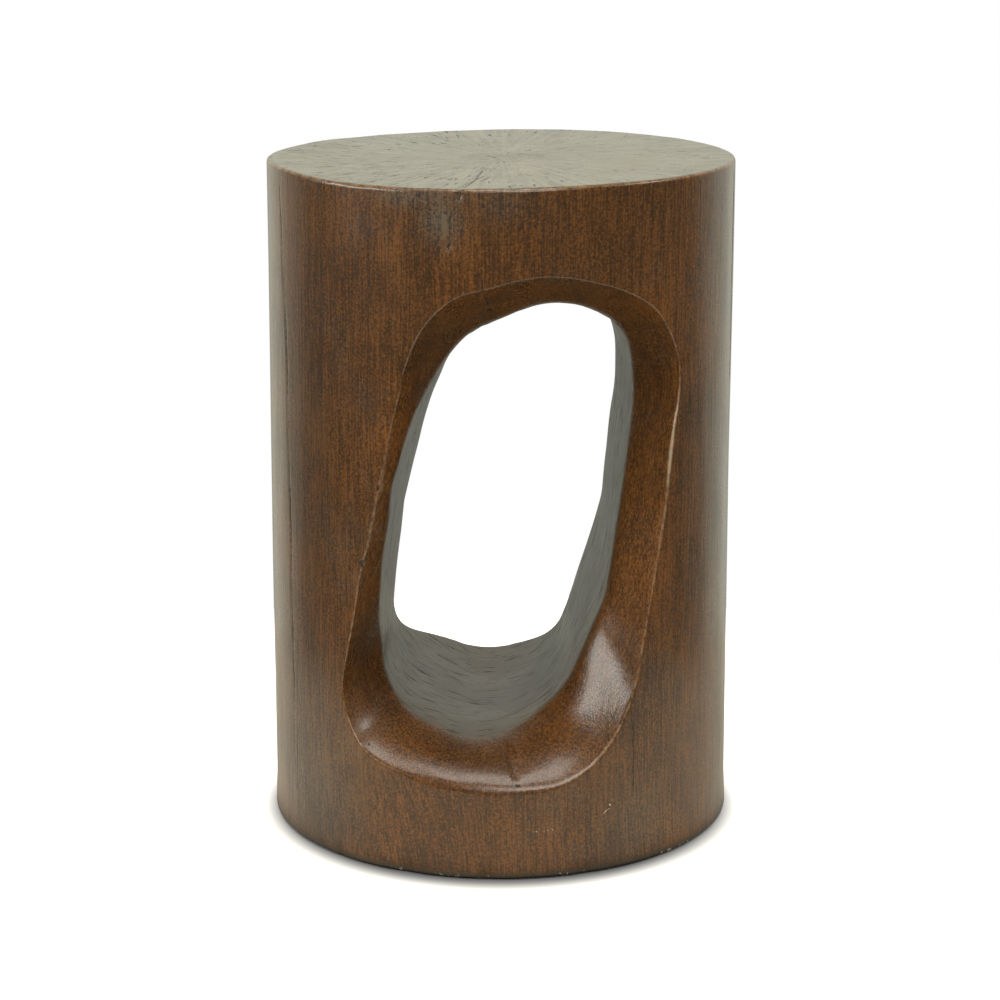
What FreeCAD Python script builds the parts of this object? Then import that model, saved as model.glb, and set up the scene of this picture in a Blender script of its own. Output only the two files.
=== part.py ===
"""Stump side table: a solid log with a slanted, flared opening carved right through it, on four feet.

Millimetres. +Z is up, -Y is the front, and the origin is on the floor under the middle of the log.
The opening runs straight through along Y: a throat of constant section, bevelled wide at both faces.
Four rubber feet sit in shallow drilled recesses under the log, each held by a screw and a washer.
"""

import FreeCAD
import Part
import Sketcher

import math
import os

Vector = FreeCAD.Vector

SIZES = {
    # Log
    "table_height": 457.0,
    "log_bottom_radius": 159.0,
    "log_top_radius": 157.5,
    "top_edge_chamfer": 2.5,
    "bottom_edge_chamfer": 1.5,
    # Bevel of the opening: its wide section stands just outside the log, its narrow one inside the throat
    "mouth_distance": 165.0,
    "bevel_root_distance": 45.0,
    "bevel_root_inset": 15.0,
    # Feet and their recesses
    "foot_offset": 79.0,
    "foot_height": 10.0,
    "foot_top_radius": 15.0,
    "foot_bottom_radius": 13.5,
    "foot_edge_round": 1.2,
    "foot_well_radius": 7.4,
    "foot_well_depth": 5.4,
    "foot_bore_radius": 2.4,
    "recess_depth": 9.0,
    "recess_clearance": 0.3,
    # Washers and screws
    "washer_radius": 7.0,
    "washer_bore_radius": 2.3,
    "washer_thickness": 1.2,
    "screw_head_radius": 4.0,
    "screw_head_height": 2.4,
    "screw_head_round": 0.9,
    "screw_shank_radius": 2.1,
    "screw_length": 28.0,
    "screw_point_length": 4.0,
    "screw_drive_width": 1.1,
    "screw_drive_span": 4.6,
    "screw_drive_depth": 1.4,
}

# Each outline of the opening is a belt round four corner circles, as (x, z, radius) seen from the front
CORNERS = ("lower_left", "lower_right", "upper_right", "upper_left")
THROAT = {
    "lower_left": (-39.0, 133.0, 42.0),
    "lower_right": (-12.0, 153.0, 72.0),
    "upper_right": (36.0, 321.0, 51.0),
    "upper_left": (21.0, 296.0, 70.0),
}
MOUTH = {
    "lower_left": (-90.0, 100.0, 37.0),
    "lower_right": (35.0, 134.0, 75.0),
    "upper_right": (112.0, 352.0, 52.0),
    "upper_left": (9.0, 324.0, 80.0),
}

# Where each foot stands: the signs of its x and y
FOOT_PLACES = {
    "front_left": (-1, -1),
    "front_right": (1, -1),
    "rear_left": (-1, 1),
    "rear_right": (1, 1),
}

ORIGIN = (-1, 1)
VERTICAL_AXIS = -2
START, END, CENTRE = 1, 2, 3


def make_sheet(document):
    """Puts every driving dimension in a spreadsheet cell with an alias."""
    cells = dict(SIZES)
    for outline_name, outline in (("throat", THROAT), ("mouth", MOUTH)):
        for corner in CORNERS:
            for quantity, value in zip(("x", "z", "radius"), outline[corner]):
                cells[f"{outline_name}_{corner}_{quantity}"] = value
    sheet = document.addObject("Spreadsheet::Sheet", "Sizes")
    for row, (alias, value) in enumerate(cells.items(), start=1):
        sheet.set(f"A{row}", alias)
        sheet.set(f"B{row}", str(value))
        sheet.setAlias(f"B{row}", alias)
    document.recompute()
    return sheet


def make_body(document, label):
    """Adds an empty body whose label names its file."""
    body = document.addObject("PartDesign::Body", label)
    body.Label = label
    return body


def origin_feature(body, role):
    """Finds one of the body's own origin planes or axes by its role."""
    return next(feature for feature in body.Origin.OriginFeatures if feature.Role == role)


def make_sketch(body, name, plane, offset=None):
    """Adds a sketch on one of the body's origin planes, moved along the plane's normal by an expression."""
    sketch = body.newObject("Sketcher::SketchObject", name)
    sketch.AttachmentSupport = (origin_feature(body, plane), [""])
    sketch.MapMode = "FlatFace"
    if offset:
        sketch.setExpression("AttachmentOffset.Base.z", offset)
    return sketch


def bind(sketch, constraint, expression):
    """Adds a dimension to the sketch and ties its value to the spreadsheet."""
    index = sketch.addConstraint(constraint)
    sketch.setExpression(f"Constraints[{index}]", expression)


def bind_point(sketch, geometry, position, place, expressions):
    """Ties a point's two distances from the sketch origin to the spreadsheet."""
    for kind, value, expression in zip(("DistanceX", "DistanceY"), place, expressions):
        bind(sketch, Sketcher.Constraint(kind, *ORIGIN, geometry, position, value), expression)


def add_circle(sketch, centre, radius, centre_expressions, radius_expression):
    """Draws a circle whose centre and radius come from the spreadsheet."""
    circle = sketch.addGeometry(Part.Circle(Vector(*centre, 0), Vector(0, 0, 1), radius))
    if centre_expressions:
        bind_point(sketch, circle, CENTRE, centre, centre_expressions)
    else:
        sketch.addConstraint(Sketcher.Constraint("Coincident", circle, CENTRE, *ORIGIN))
    bind(sketch, Sketcher.Constraint("Radius", circle, radius), radius_expression)


def add_rectangle(sketch, width, height, width_expression, height_expression):
    """Draws a rectangle centred on the sketch origin."""
    x, y = width / 2, height / 2
    corners = [Vector(-x, -y, 0), Vector(x, -y, 0), Vector(x, y, 0), Vector(-x, y, 0)]
    lines = [sketch.addGeometry(Part.LineSegment(corners[i], corners[(i + 1) % 4])) for i in range(4)]
    for i, line in enumerate(lines):
        sketch.addConstraint(Sketcher.Constraint("Coincident", line, END, lines[(i + 1) % 4], START))
        sketch.addConstraint(Sketcher.Constraint("Vertical" if i % 2 else "Horizontal", line))
    sketch.addConstraint(Sketcher.Constraint("Symmetric", lines[0], START, lines[1], END, *ORIGIN))
    bind(sketch, Sketcher.Constraint("DistanceX", lines[0], START, lines[0], END, width), width_expression)
    bind(sketch, Sketcher.Constraint("DistanceY", lines[1], START, lines[1], END, height), height_expression)


def belt_normals(circles):
    """Gives the outward normal of the straight run from each circle to the next, going anticlockwise."""
    normals = []
    for (x, z, radius), (next_x, next_z, next_radius) in zip(circles, circles[1:] + circles[:1]):
        run = Vector(next_x - x, next_z - z, 0)
        lean = math.asin((radius - next_radius) / run.Length)
        heading = math.atan2(run.y, run.x) - math.pi / 2 + lean
        normals.append(heading)
    return normals


def add_belt(sketch, sheet, outline_name, inset_alias=None):
    """Draws a belt round four corner circles: tangent arcs and lines, every circle set by the spreadsheet."""
    inset = getattr(sheet, inset_alias) if inset_alias else 0.0
    circles = []
    for corner in CORNERS:
        x, z, radius = (getattr(sheet, f"{outline_name}_{corner}_{q}") for q in ("x", "z", "radius"))
        circles.append((x, z, radius - inset))
    normals = belt_normals(circles)

    arcs, lines = [], []
    for i, (x, z, radius) in enumerate(circles):
        circle = Part.Circle(Vector(x, z, 0), Vector(0, 0, 1), radius)
        arcs.append(sketch.addGeometry(Part.ArcOfCircle(circle, normals[i - 1], normals[i])))
        next_x, next_z, next_radius = circles[(i + 1) % 4]
        outward = Vector(math.cos(normals[i]), math.sin(normals[i]), 0)
        run_start = Vector(x, z, 0) + outward * radius
        run_end = Vector(next_x, next_z, 0) + outward * next_radius
        lines.append(sketch.addGeometry(Part.LineSegment(run_start, run_end)))

    for i, corner in enumerate(CORNERS):
        sketch.addConstraint(Sketcher.Constraint("Tangent", arcs[i], END, lines[i], START))
        sketch.addConstraint(Sketcher.Constraint("Tangent", lines[i], END, arcs[(i + 1) % 4], START))
        x, z, radius = circles[i]
        cell = f"Sizes.{outline_name}_{corner}"
        bind_point(sketch, arcs[i], CENTRE, (x, z), (f"{cell}_x", f"{cell}_z"))
        radius_expression = f"{cell}_radius - Sizes.{inset_alias}" if inset_alias else f"{cell}_radius"
        bind(sketch, Sketcher.Constraint("Radius", arcs[i], radius), radius_expression)


def circular_edges_at(shape, height, radius=None):
    """Names the full circles of a shape that lie flat at a height, on the shape's own axis."""
    names = []
    for number, edge in enumerate(shape.Edges, start=1):
        if not isinstance(edge.Curve, Part.Circle) or not edge.isClosed():
            continue
        if abs(edge.Curve.Center.z - height) > 0.01:
            continue
        if radius is None or abs(edge.Curve.Radius - radius) < 0.01:
            names.append(f"Edge{number}")
    return names


def dress_edges(body, kind, name, base, edges, size_property, expression):
    """Adds a fillet or chamfer feature on named edges of the feature before it."""
    feature = body.newObject(f"PartDesign::{kind}", name)
    feature.Base = (base, edges)
    feature.setExpression(size_property, expression)
    return feature


def must_shrink(feature, before):
    """Stops if a cutting feature took nothing away."""
    if feature.Shape.Volume > before - 1.0:
        raise RuntimeError(f"{feature.Name} cut nothing")


def make_log(document, sheet):
    """The log: a slightly tapered round, its opening and bevels, and the recesses for the feet."""
    body = make_body(document, "stump_body")
    floor_gap = "Sizes.foot_height - Sizes.recess_depth"
    bottom = sheet.foot_height - sheet.recess_depth

    round_sketch = make_sketch(body, "LogRound", "XY_Plane", floor_gap)
    add_circle(round_sketch, (0, 0), sheet.log_bottom_radius, None, "Sizes.log_bottom_radius")
    log = body.newObject("PartDesign::Pad", "Log")
    log.Profile = round_sketch
    log_length = f"(Sizes.table_height - ({floor_gap}))"
    log.setExpression("Length", log_length)
    taper = f"-atan((Sizes.log_bottom_radius - Sizes.log_top_radius) / {log_length})"
    log.setExpression("TaperAngle", taper)
    document.recompute()

    top_edges = circular_edges_at(log.Shape, sheet.table_height)
    top_edge = dress_edges(body, "Chamfer", "TopEdge", log, top_edges, "Size", "Sizes.top_edge_chamfer")
    document.recompute()
    bottom_edges = circular_edges_at(top_edge.Shape, bottom)
    bottom_edge = dress_edges(
        body, "Chamfer", "BottomEdge", top_edge, bottom_edges, "Size", "Sizes.bottom_edge_chamfer")
    document.recompute()

    throat_sketch = make_sketch(body, "ThroatOutline", "XZ_Plane")
    add_belt(throat_sketch, sheet, "throat")
    throat = body.newObject("PartDesign::Pocket", "Throat")
    throat.Profile = throat_sketch
    throat.Type = "ThroughAll"
    throat.Midplane = True
    document.recompute()
    must_shrink(throat, bottom_edge.Shape.Volume)

    mouth_sketch = make_sketch(body, "MouthOutline", "XZ_Plane", "Sizes.mouth_distance")
    add_belt(mouth_sketch, sheet, "mouth")
    root_sketch = make_sketch(body, "BevelRootOutline", "XZ_Plane", "Sizes.bevel_root_distance")
    add_belt(root_sketch, sheet, "throat", "bevel_root_inset")
    bevel = body.newObject("PartDesign::SubtractiveLoft", "FrontBevel")
    bevel.Profile = mouth_sketch
    bevel.Sections = [root_sketch]
    bevel.Ruled = True
    document.recompute()
    must_shrink(bevel, throat.Shape.Volume)

    rear_bevel = body.newObject("PartDesign::Mirrored", "RearBevel")
    rear_bevel.Originals = [bevel]
    rear_bevel.MirrorPlane = (origin_feature(body, "XZ_Plane"), [""])
    body.Tip = rear_bevel
    document.recompute()
    must_shrink(rear_bevel, bevel.Shape.Volume)

    foot_place = (sheet.foot_offset, sheet.foot_offset)
    foot_expressions = ("Sizes.foot_offset", "Sizes.foot_offset")
    recess_sketch = make_sketch(body, "FootRecessOutline", "XY_Plane", floor_gap)
    add_circle(recess_sketch, foot_place, sheet.foot_top_radius + sheet.recess_clearance,
               foot_expressions, "Sizes.foot_top_radius + Sizes.recess_clearance")
    recess = body.newObject("PartDesign::Pocket", "FootRecess")
    recess.Profile = recess_sketch
    recess.Reversed = True
    recess.setExpression("Length", "Sizes.recess_depth")
    document.recompute()
    must_shrink(recess, rear_bevel.Shape.Volume)

    pilot_sketch = make_sketch(body, "ScrewPilotOutline", "XY_Plane", "Sizes.foot_height")
    add_circle(pilot_sketch, foot_place, sheet.screw_shank_radius,
               foot_expressions, "Sizes.screw_shank_radius")
    pilot = body.newObject("PartDesign::Pocket", "ScrewPilot")
    pilot.Profile = pilot_sketch
    pilot.Reversed = True
    pilot.setExpression(
        "Length", "Sizes.foot_well_depth - Sizes.washer_thickness + Sizes.screw_length - Sizes.foot_height")
    document.recompute()
    must_shrink(pilot, recess.Shape.Volume)

    four_feet = body.newObject("PartDesign::PolarPattern", "FourFeet")
    four_feet.Originals = [recess, pilot]
    four_feet.Axis = (origin_feature(body, "Z_Axis"), [""])
    four_feet.Angle = 360
    four_feet.Occurrences = len(FOOT_PLACES)
    body.Tip = four_feet
    document.recompute()
    must_shrink(four_feet, pilot.Shape.Volume)
    return body


def place_at_foot(body, signs):
    """Moves a body to its foot's place under the log."""
    for axis, sign in zip("xy", signs):
        body.setExpression(f"Placement.Base.{axis}", f"{sign} * Sizes.foot_offset")


def revolve_profile(document, body, sheet, name, corners):
    """Turns a closed profile round the body's own Z axis; corners are (radius, height) expressions."""
    sketch = make_sketch(body, f"{name}Profile", "XZ_Plane")
    places = [tuple(sheet.evalExpression(e.replace("Sizes.", "")) for e in corner) for corner in corners]
    points = [Vector(*place, 0) for place in places]
    count = len(points)
    lines = [sketch.addGeometry(Part.LineSegment(points[i], points[(i + 1) % count])) for i in range(count)]
    for i, line in enumerate(lines):
        sketch.addConstraint(Sketcher.Constraint("Coincident", line, END, lines[(i + 1) % count], START))
    for line, place, corner in zip(lines, places, corners):
        for kind, value, expression in zip(("DistanceX", "DistanceY"), place, corner):
            if expression != "0":
                bind(sketch, Sketcher.Constraint(kind, *ORIGIN, line, START, value), expression)
            else:
                axis = VERTICAL_AXIS if kind == "DistanceX" else VERTICAL_AXIS + 1
                sketch.addConstraint(Sketcher.Constraint("PointOnObject", line, START, axis))
    turned = body.newObject("PartDesign::Revolution", name)
    turned.Profile = sketch
    turned.ReferenceAxis = (sketch, ["V_Axis"])
    turned.Angle = 360
    document.recompute()
    return turned


def make_foot(document, sheet, place_name, signs):
    """A tapered rubber foot with a well for the screw head, its lower edge rounded."""
    body = make_body(document, f"{place_name}_foot")
    turned = revolve_profile(document, body, sheet, "Foot", [
        ("Sizes.foot_bore_radius", "Sizes.foot_height"),
        ("Sizes.foot_top_radius", "Sizes.foot_height"),
        ("Sizes.foot_bottom_radius", "0"),
        ("Sizes.foot_well_radius", "0"),
        ("Sizes.foot_well_radius", "Sizes.foot_well_depth"),
        ("Sizes.foot_bore_radius", "Sizes.foot_well_depth"),
    ])
    rim = circular_edges_at(turned.Shape, 0, sheet.foot_bottom_radius)
    dress_edges(body, "Fillet", "FootEdge", turned, rim, "Radius", "Sizes.foot_edge_round")
    place_at_foot(body, signs)
    return body


def make_washer(document, sheet, place_name, signs):
    """A flat steel washer at the top of the foot's well."""
    body = make_body(document, f"{place_name}_foot_washer")
    under = "Sizes.foot_well_depth - Sizes.washer_thickness"
    revolve_profile(document, body, sheet, "Washer", [
        ("Sizes.washer_bore_radius", under),
        ("Sizes.washer_radius", under),
        ("Sizes.washer_radius", "Sizes.foot_well_depth"),
        ("Sizes.washer_bore_radius", "Sizes.foot_well_depth"),
    ])
    place_at_foot(body, signs)
    return body


def make_screw(document, sheet, place_name, signs):
    """A round-headed wood screw, pointing up into the log, with a cross cut in its head."""
    body = make_body(document, f"{place_name}_foot_screw")
    seat = "Sizes.foot_well_depth - Sizes.washer_thickness"
    head = f"{seat} - Sizes.screw_head_height"
    turned = revolve_profile(document, body, sheet, "Screw", [
        ("0", head),
        ("Sizes.screw_head_radius", head),
        ("Sizes.screw_head_radius", seat),
        ("Sizes.screw_shank_radius", seat),
        ("Sizes.screw_shank_radius", f"{seat} + Sizes.screw_length - Sizes.screw_point_length"),
        ("0", f"{seat} + Sizes.screw_length"),
    ])
    head_height = sheet.foot_well_depth - sheet.washer_thickness - sheet.screw_head_height
    rim = circular_edges_at(turned.Shape, head_height, sheet.screw_head_radius)
    dress_edges(body, "Fillet", "HeadRound", turned, rim, "Radius", "Sizes.screw_head_round")
    document.recompute()
    spans = (("screw_drive_span", "screw_drive_width"), ("screw_drive_width", "screw_drive_span"))
    for number, (width, height) in enumerate(spans, start=1):
        before = body.Shape.Volume
        sketch = make_sketch(body, f"DriveSlot{number}Outline", "XY_Plane", head)
        add_rectangle(sketch, getattr(sheet, width), getattr(sheet, height), f"Sizes.{width}", f"Sizes.{height}")
        slot = body.newObject("PartDesign::Pocket", f"DriveSlot{number}")
        slot.Profile = sketch
        slot.Reversed = True
        slot.setExpression("Length", "Sizes.screw_drive_depth")
        document.recompute()
        must_shrink(slot, before)
    place_at_foot(body, signs)
    return body


def check_document(document, bodies):
    """Stops if any object failed to recompute or any piece isn't one valid solid."""
    for item in document.Objects:
        if {"Invalid", "Error"} & set(item.State):
            raise RuntimeError(f"{item.Label}: {item.State}")
    for body in bodies:
        shape = body.Shape
        if shape.isNull() or not shape.isValid() or len(shape.Solids) != 1:
            raise RuntimeError(f"{body.Label}: not one valid solid")


def main():
    """Builds the document, checks it and writes one file for each piece."""
    document = FreeCAD.newDocument("stump_side_table")
    sheet = make_sheet(document)
    bodies = [make_log(document, sheet)]
    for place_name, signs in FOOT_PLACES.items():
        for make_piece in (make_foot, make_washer, make_screw):
            bodies.append(make_piece(document, sheet, place_name, signs))
    document.recompute()
    check_document(document, bodies)

    os.makedirs("parts", exist_ok=True)
    for body in bodies:
        body.Shape.exportStep(f"parts/{body.Label}.step")
        box = body.Shape.BoundBox
        print(f"{body.Label}: volume {body.Shape.Volume / 1000:.1f} cm3, z {box.ZMin:.2f} to {box.ZMax:.2f}")


main()
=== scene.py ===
"""Stump side table: a stained log with a slanted opening carved through it, on four screwed rubber feet.

Metres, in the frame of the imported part: +Z is up and -Y is the front. A carved mesh stands for the part's
plain log. The feet, washers and screws are the part's own solids, and get finishes of their own.
"""

import logging
import math
from dataclasses import dataclass
from enum import Enum

import bmesh
import bpy
import numpy as np
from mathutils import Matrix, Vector
from mathutils.geometry import delaunay_2d_cdt

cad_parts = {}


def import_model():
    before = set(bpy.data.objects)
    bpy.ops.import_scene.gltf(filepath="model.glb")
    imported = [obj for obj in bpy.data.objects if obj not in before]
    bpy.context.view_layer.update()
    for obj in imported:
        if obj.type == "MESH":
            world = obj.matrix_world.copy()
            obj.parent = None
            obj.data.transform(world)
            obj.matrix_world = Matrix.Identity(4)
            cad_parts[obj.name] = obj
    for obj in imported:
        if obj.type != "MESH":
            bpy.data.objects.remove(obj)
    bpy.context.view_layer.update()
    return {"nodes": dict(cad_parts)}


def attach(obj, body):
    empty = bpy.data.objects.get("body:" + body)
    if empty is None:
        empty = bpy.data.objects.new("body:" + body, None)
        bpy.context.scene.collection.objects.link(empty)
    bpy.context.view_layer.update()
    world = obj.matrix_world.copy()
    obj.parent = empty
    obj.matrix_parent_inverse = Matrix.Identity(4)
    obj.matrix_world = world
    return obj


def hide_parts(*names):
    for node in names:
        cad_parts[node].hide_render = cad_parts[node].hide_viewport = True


LOG = logging.getLogger("stump_side_table")
TAU = 2.0 * math.pi
FULL_TURN = 360.0
Array = np.ndarray
Socket = bpy.types.NodeSocket
Colour = tuple[float, float, float]
Point = tuple[float, float, float]
Span = tuple[float, float]


def smooth_step(value: Array, low: float, high: float) -> Array:
    """Rises from 0 at low to 1 at high along an S-curve.

    Args:
        value: Where to read the curve.
        low: The value at which it leaves 0.
        high: The value at which it reaches 1.

    Returns:
        The height of the curve at each value.
    """
    share = np.clip((value - low) / (high - low), 0.0, 1.0)
    return share * share * (3.0 - 2.0 * share)


def bell(value: Array, middle: float, spread: float) -> Array:
    """A bell curve of height 1 at middle."""
    return np.exp(-(((value - middle) / spread) ** 2))


def turned(angles: Array, degrees: float) -> Array:
    """How far angles, in radians, are turned from a direction: -180 to 180 degrees."""
    return np.degrees(np.angle(np.exp(1j * (angles - math.radians(degrees)))))


def level(plan: Array, height: Array | float) -> Array:
    """Points at a height above a table of x and y."""
    return np.column_stack((plan, np.broadcast_to(height, len(plan))))


def graded_shares(count: int, fine_start: bool, fine_end: bool) -> Array:
    """Divides a run into steps that get shorter towards its fine ends.

    Args:
        count: How many steps there are.
        fine_start: Whether the first steps are short.
        fine_end: Whether the last steps are short.

    Returns:
        The count + 1 places of the steps' ends, from 0 to 1.
    """
    shortest = 0.28
    reach = 10.0
    place = np.arange(count) + 0.5
    step = np.ones(count)
    for fine, away in ((fine_start, place), (fine_end, count - place)):
        if fine:
            step = np.minimum(step, shortest + (1.0 - shortest) * np.minimum(away / reach, 1.0) ** 1.5)
    ends = np.concatenate(([0.0], np.cumsum(step)))
    return ends / ends[-1]


def read_vectors(rows: bpy.types.bpy_prop_collection, name: str) -> Array:
    """Reads one vector from each row of a mesh's table.

    Args:
        rows: The table.
        name: Which of its vectors is wanted.

    Returns:
        One vector to a row.
    """
    values = np.zeros(len(rows) * 3)
    rows.foreach_get(name, values)
    return values.reshape(-1, 3)


def stand(name: str, data: bpy.types.ID) -> bpy.types.Object:
    """Puts a mesh, a lamp or a camera into the scene.

    Args:
        name: The object's name.
        data: What it shows.

    Returns:
        The object.
    """
    thing = bpy.data.objects.new(name, data)
    bpy.context.scene.collection.objects.link(thing)
    return thing


@dataclass(frozen=True)
class Ripple:
    """A smooth, repeatable unevenness: a sum of sine waves in seeded directions.

    Attributes:
        seed: Chooses the waves.
        lengths: Usual wave length along X, Y and Z.
        height: About how far it departs from 0 either way.
        waves: How many waves are summed.
    """

    TIGHTNESS = 0.6

    seed: int
    lengths: Point
    height: float = 1.0
    waves: int = 28

    def at(self, points: Array) -> Array:
        """Reads the unevenness at some places.

        Args:
            points: The places, one to a row.

        Returns:
            How far it departs from 0 at each.
        """
        draw = np.random.default_rng(self.seed)
        direction = draw.normal(size=(self.waves, 3)) * (TAU * self.TIGHTNESS) / np.array(self.lengths)
        phase = draw.uniform(0.0, TAU, self.waves)
        total = np.sin(points @ direction.T + phase).sum(axis=1)
        return self.height * (total / math.sqrt(2.0 * self.waves))


@dataclass(frozen=True)
class Belt:
    """An outline seen from the front: a belt drawn tight round its posts.

    Attributes:
        posts: Each post's x, z and radius.
    """

    DIRECTIONS = 1440
    LEAST_SLANT = 0.05

    posts: tuple[Point, ...]

    def reach(self, centre: Span, bearings: Array, inset: float = 0.0) -> Array:
        """Measures how far the belt is from a point inside it.

        Args:
            centre: The point's x and z.
            bearings: The directions to measure in, in radians from +X towards +Z.
            inset: How much smaller each post is taken.

        Returns:
            The distance along each bearing.
        """
        facing = np.linspace(0.0, TAU, self.DIRECTIONS, endpoint=False)
        support = np.full(facing.shape, -np.inf)
        for x, z, radius in self.posts:
            offset = (x - centre[0]) * np.cos(facing) + (z - centre[1]) * np.sin(facing)
            support = np.maximum(support, offset + radius - inset)
        slant = np.cos(bearings[:, None] - facing[None, :])
        distance = support[None, :] / np.maximum(slant, self.LEAST_SLANT)
        return np.where(slant > self.LEAST_SLANT, distance, np.inf).min(axis=1)


@dataclass(frozen=True)
class Swell:
    """A place where the hand-cut opening departs from its belts and its even bevel.

    Attributes:
        bearing: Its direction from the opening's centre, in degrees.
        spread: How far round it reaches, in degrees.
        front: How much wider the throat's front end is there.
        rear: How much wider its rear end is there.
        mouth: How much wider the mouth is there.
        slope: How much steeper the bevel is there.
        roll: How far the bevel rolls over towards its rim there.
        soft: How much softer the ridge between throat and bevel is there.
    """

    bearing: float
    spread: float
    front: float = 0.0
    rear: float = 0.0
    mouth: float = 0.0
    slope: float = 0.0
    roll: float = 0.0
    soft: float = 0.0

    def weight(self, bearings: Array) -> Array:
        """How strongly it is felt along each bearing, in radians."""
        return bell(turned(bearings, self.bearing), 0.0, self.spread)


@dataclass
class CarvedOpening:
    """The opening: a throat that runs right through, bevelled wide towards both faces of the log.

    Attributes:
        centre: The x and z that bearings are taken from.
        root: The outline that the cone which draws the rim starts from.
        front: The throat's outline at its front end.
        rear: The throat's outline at its rear end.
        mouth: The wide outline, just outside the log.
        mouth_distance: How far from the middle the wide outline stands.
        root_distance: How far from the middle the cone that draws the rim starts.
        root_inset: How much tighter than the root outline it starts.
        throat_half: How far from the middle the throat reaches either way.
        bevel_slope: How fast the bevel widens towards the rim.
        roll_reach: How far from the rim the bevel rolls over.
        ridge_softness: How much the ridge between throat and bevel is rubbed down.
        ridge_run: How far from the rim the ridge has its full softness.
        throat_blend: How far before and behind the ridge the throat's finish sets in.
        swells: The hand-cut departures from the belts.
    """

    centre: Span = (0.005, 0.225)
    root: Belt = Belt((
        (-0.039, 0.133, 0.042), (-0.012, 0.153, 0.072), (0.036, 0.321, 0.051), (0.021, 0.296, 0.070)))
    front: Belt = Belt((
        (-0.040, 0.130, 0.039), (-0.014, 0.151, 0.067), (0.016, 0.190, 0.055),
        (0.035, 0.329, 0.051), (0.024, 0.309, 0.065), (-0.006, 0.239, 0.068)))
    rear: Belt = Belt((
        (-0.028, 0.123, 0.049), (-0.007, 0.116, 0.055), (0.016, 0.211, 0.058),
        (0.035, 0.319, 0.045), (0.010, 0.289, 0.055), (-0.011, 0.188, 0.059)))
    mouth: Belt = Belt((
        (-0.090, 0.100, 0.037), (0.035, 0.134, 0.075), (0.112, 0.352, 0.052), (0.009, 0.324, 0.080)))
    mouth_distance: float = 0.165
    root_distance: float = 0.045
    root_inset: float = 0.015
    throat_half: float = 0.100
    bevel_slope: float = 0.85
    roll_reach: float = 0.012
    ridge_softness: float = 0.0032
    ridge_run: float = 0.012
    throat_blend: Span = (-0.0025, 0.0035)
    swells: tuple[Swell, ...] = (
        Swell(95.0, 28.0, slope=-0.05),
        Swell(95.0, 45.0, soft=-0.0026),
        Swell(124.0, 16.0, front=0.0055),
        Swell(168.0, 20.0, front=-0.0030),
        Swell(112.0, 18.0, rear=-0.0085),
        Swell(264.0, 34.0, slope=-0.63, roll=0.0125),
        Swell(302.0, 16.0, slope=0.50),
        Swell(36.0, 8.0, mouth=-0.010),
        Swell(25.0, 10.0, mouth=-0.006),
        Swell(55.0, 8.0, mouth=-0.003),
        Swell(80.0, 8.0, mouth=0.003),
        Swell(94.0, 6.0, mouth=-0.0040),
        Swell(122.0, 7.0, mouth=-0.002),
        Swell(196.0, 8.0, mouth=0.0025),
    )

    def take_bearings(self, bearings: Array) -> None:
        """Fixes the bearings and finds what the carver cut along each of them.

        Args:
            bearings: The bearings, in radians.
        """
        even = np.ones(bearings.shape)
        self.bearings = bearings
        self.root_reach = self.root.reach(self.centre, bearings, self.root_inset)
        self.cut = {
            "front": self.front.reach(self.centre, bearings),
            "rear": self.rear.reach(self.centre, bearings),
            "mouth": self.mouth.reach(self.centre, bearings),
            "slope": self.bevel_slope * even,
            "roll": 0.0 * even,
            "soft": self.ridge_softness * even,
        }
        for swell in self.swells:
            weight = swell.weight(bearings)
            for name, value in self.cut.items():
                self.cut[name] = value + getattr(swell, name) * weight

    def place(self, reach: Array, y: Array) -> Array:
        """Finds points at a reach along each bearing.

        Args:
            reach: How far they are from the centre.
            y: How far along the opening they are.

        Returns:
            One point for each bearing.
        """
        x = self.centre[0] + reach * np.cos(self.bearings)
        z = self.centre[1] + reach * np.sin(self.bearings)
        return np.column_stack((x, y, z))

    def cone_reach(self, y: Array) -> Array:
        """The reach of the cone that draws the rims on the log."""
        share = (np.abs(y) - self.root_distance) / (self.mouth_distance - self.root_distance)
        return self.root_reach + (self.cut["mouth"] - self.root_reach) * share

    def set_rims(self, front: Array, rear: Array) -> None:
        """Takes the distance of both rims from the middle plane."""
        self.rim_distance = (front, rear)
        self.rim_reach = (self.cone_reach(front), self.cone_reach(rear))

    def points(self, y: Array) -> Array:
        """Finds the carved wall, and notes which of its points lie in the throat.

        Args:
            y: Where along the opening each bearing is asked for.

        Returns:
            One point for each bearing.
        """
        cut = self.cut
        behind = y > 0.0
        rim_distance = np.where(behind, self.rim_distance[1], self.rim_distance[0])
        rim_reach = np.where(behind, self.rim_reach[1], self.rim_reach[0])
        way = smooth_step(y, -self.throat_half, self.throat_half)
        throat = cut["front"] + (cut["rear"] - cut["front"]) * way
        back = rim_distance - np.abs(y)
        bevel = rim_reach - cut["slope"] * back - cut["roll"] * (1.0 - np.exp(-back / self.roll_reach))
        gap = bevel - throat
        softness = cut["soft"] * cut["slope"] / self.bevel_slope * smooth_step(back, 0.0, self.ridge_run)
        reach = 0.5 * (bevel + throat + np.sqrt(gap * gap + softness * softness))
        self.in_throat = smooth_step(-gap / cut["slope"], *self.throat_blend)
        return self.place(reach, y)


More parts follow.
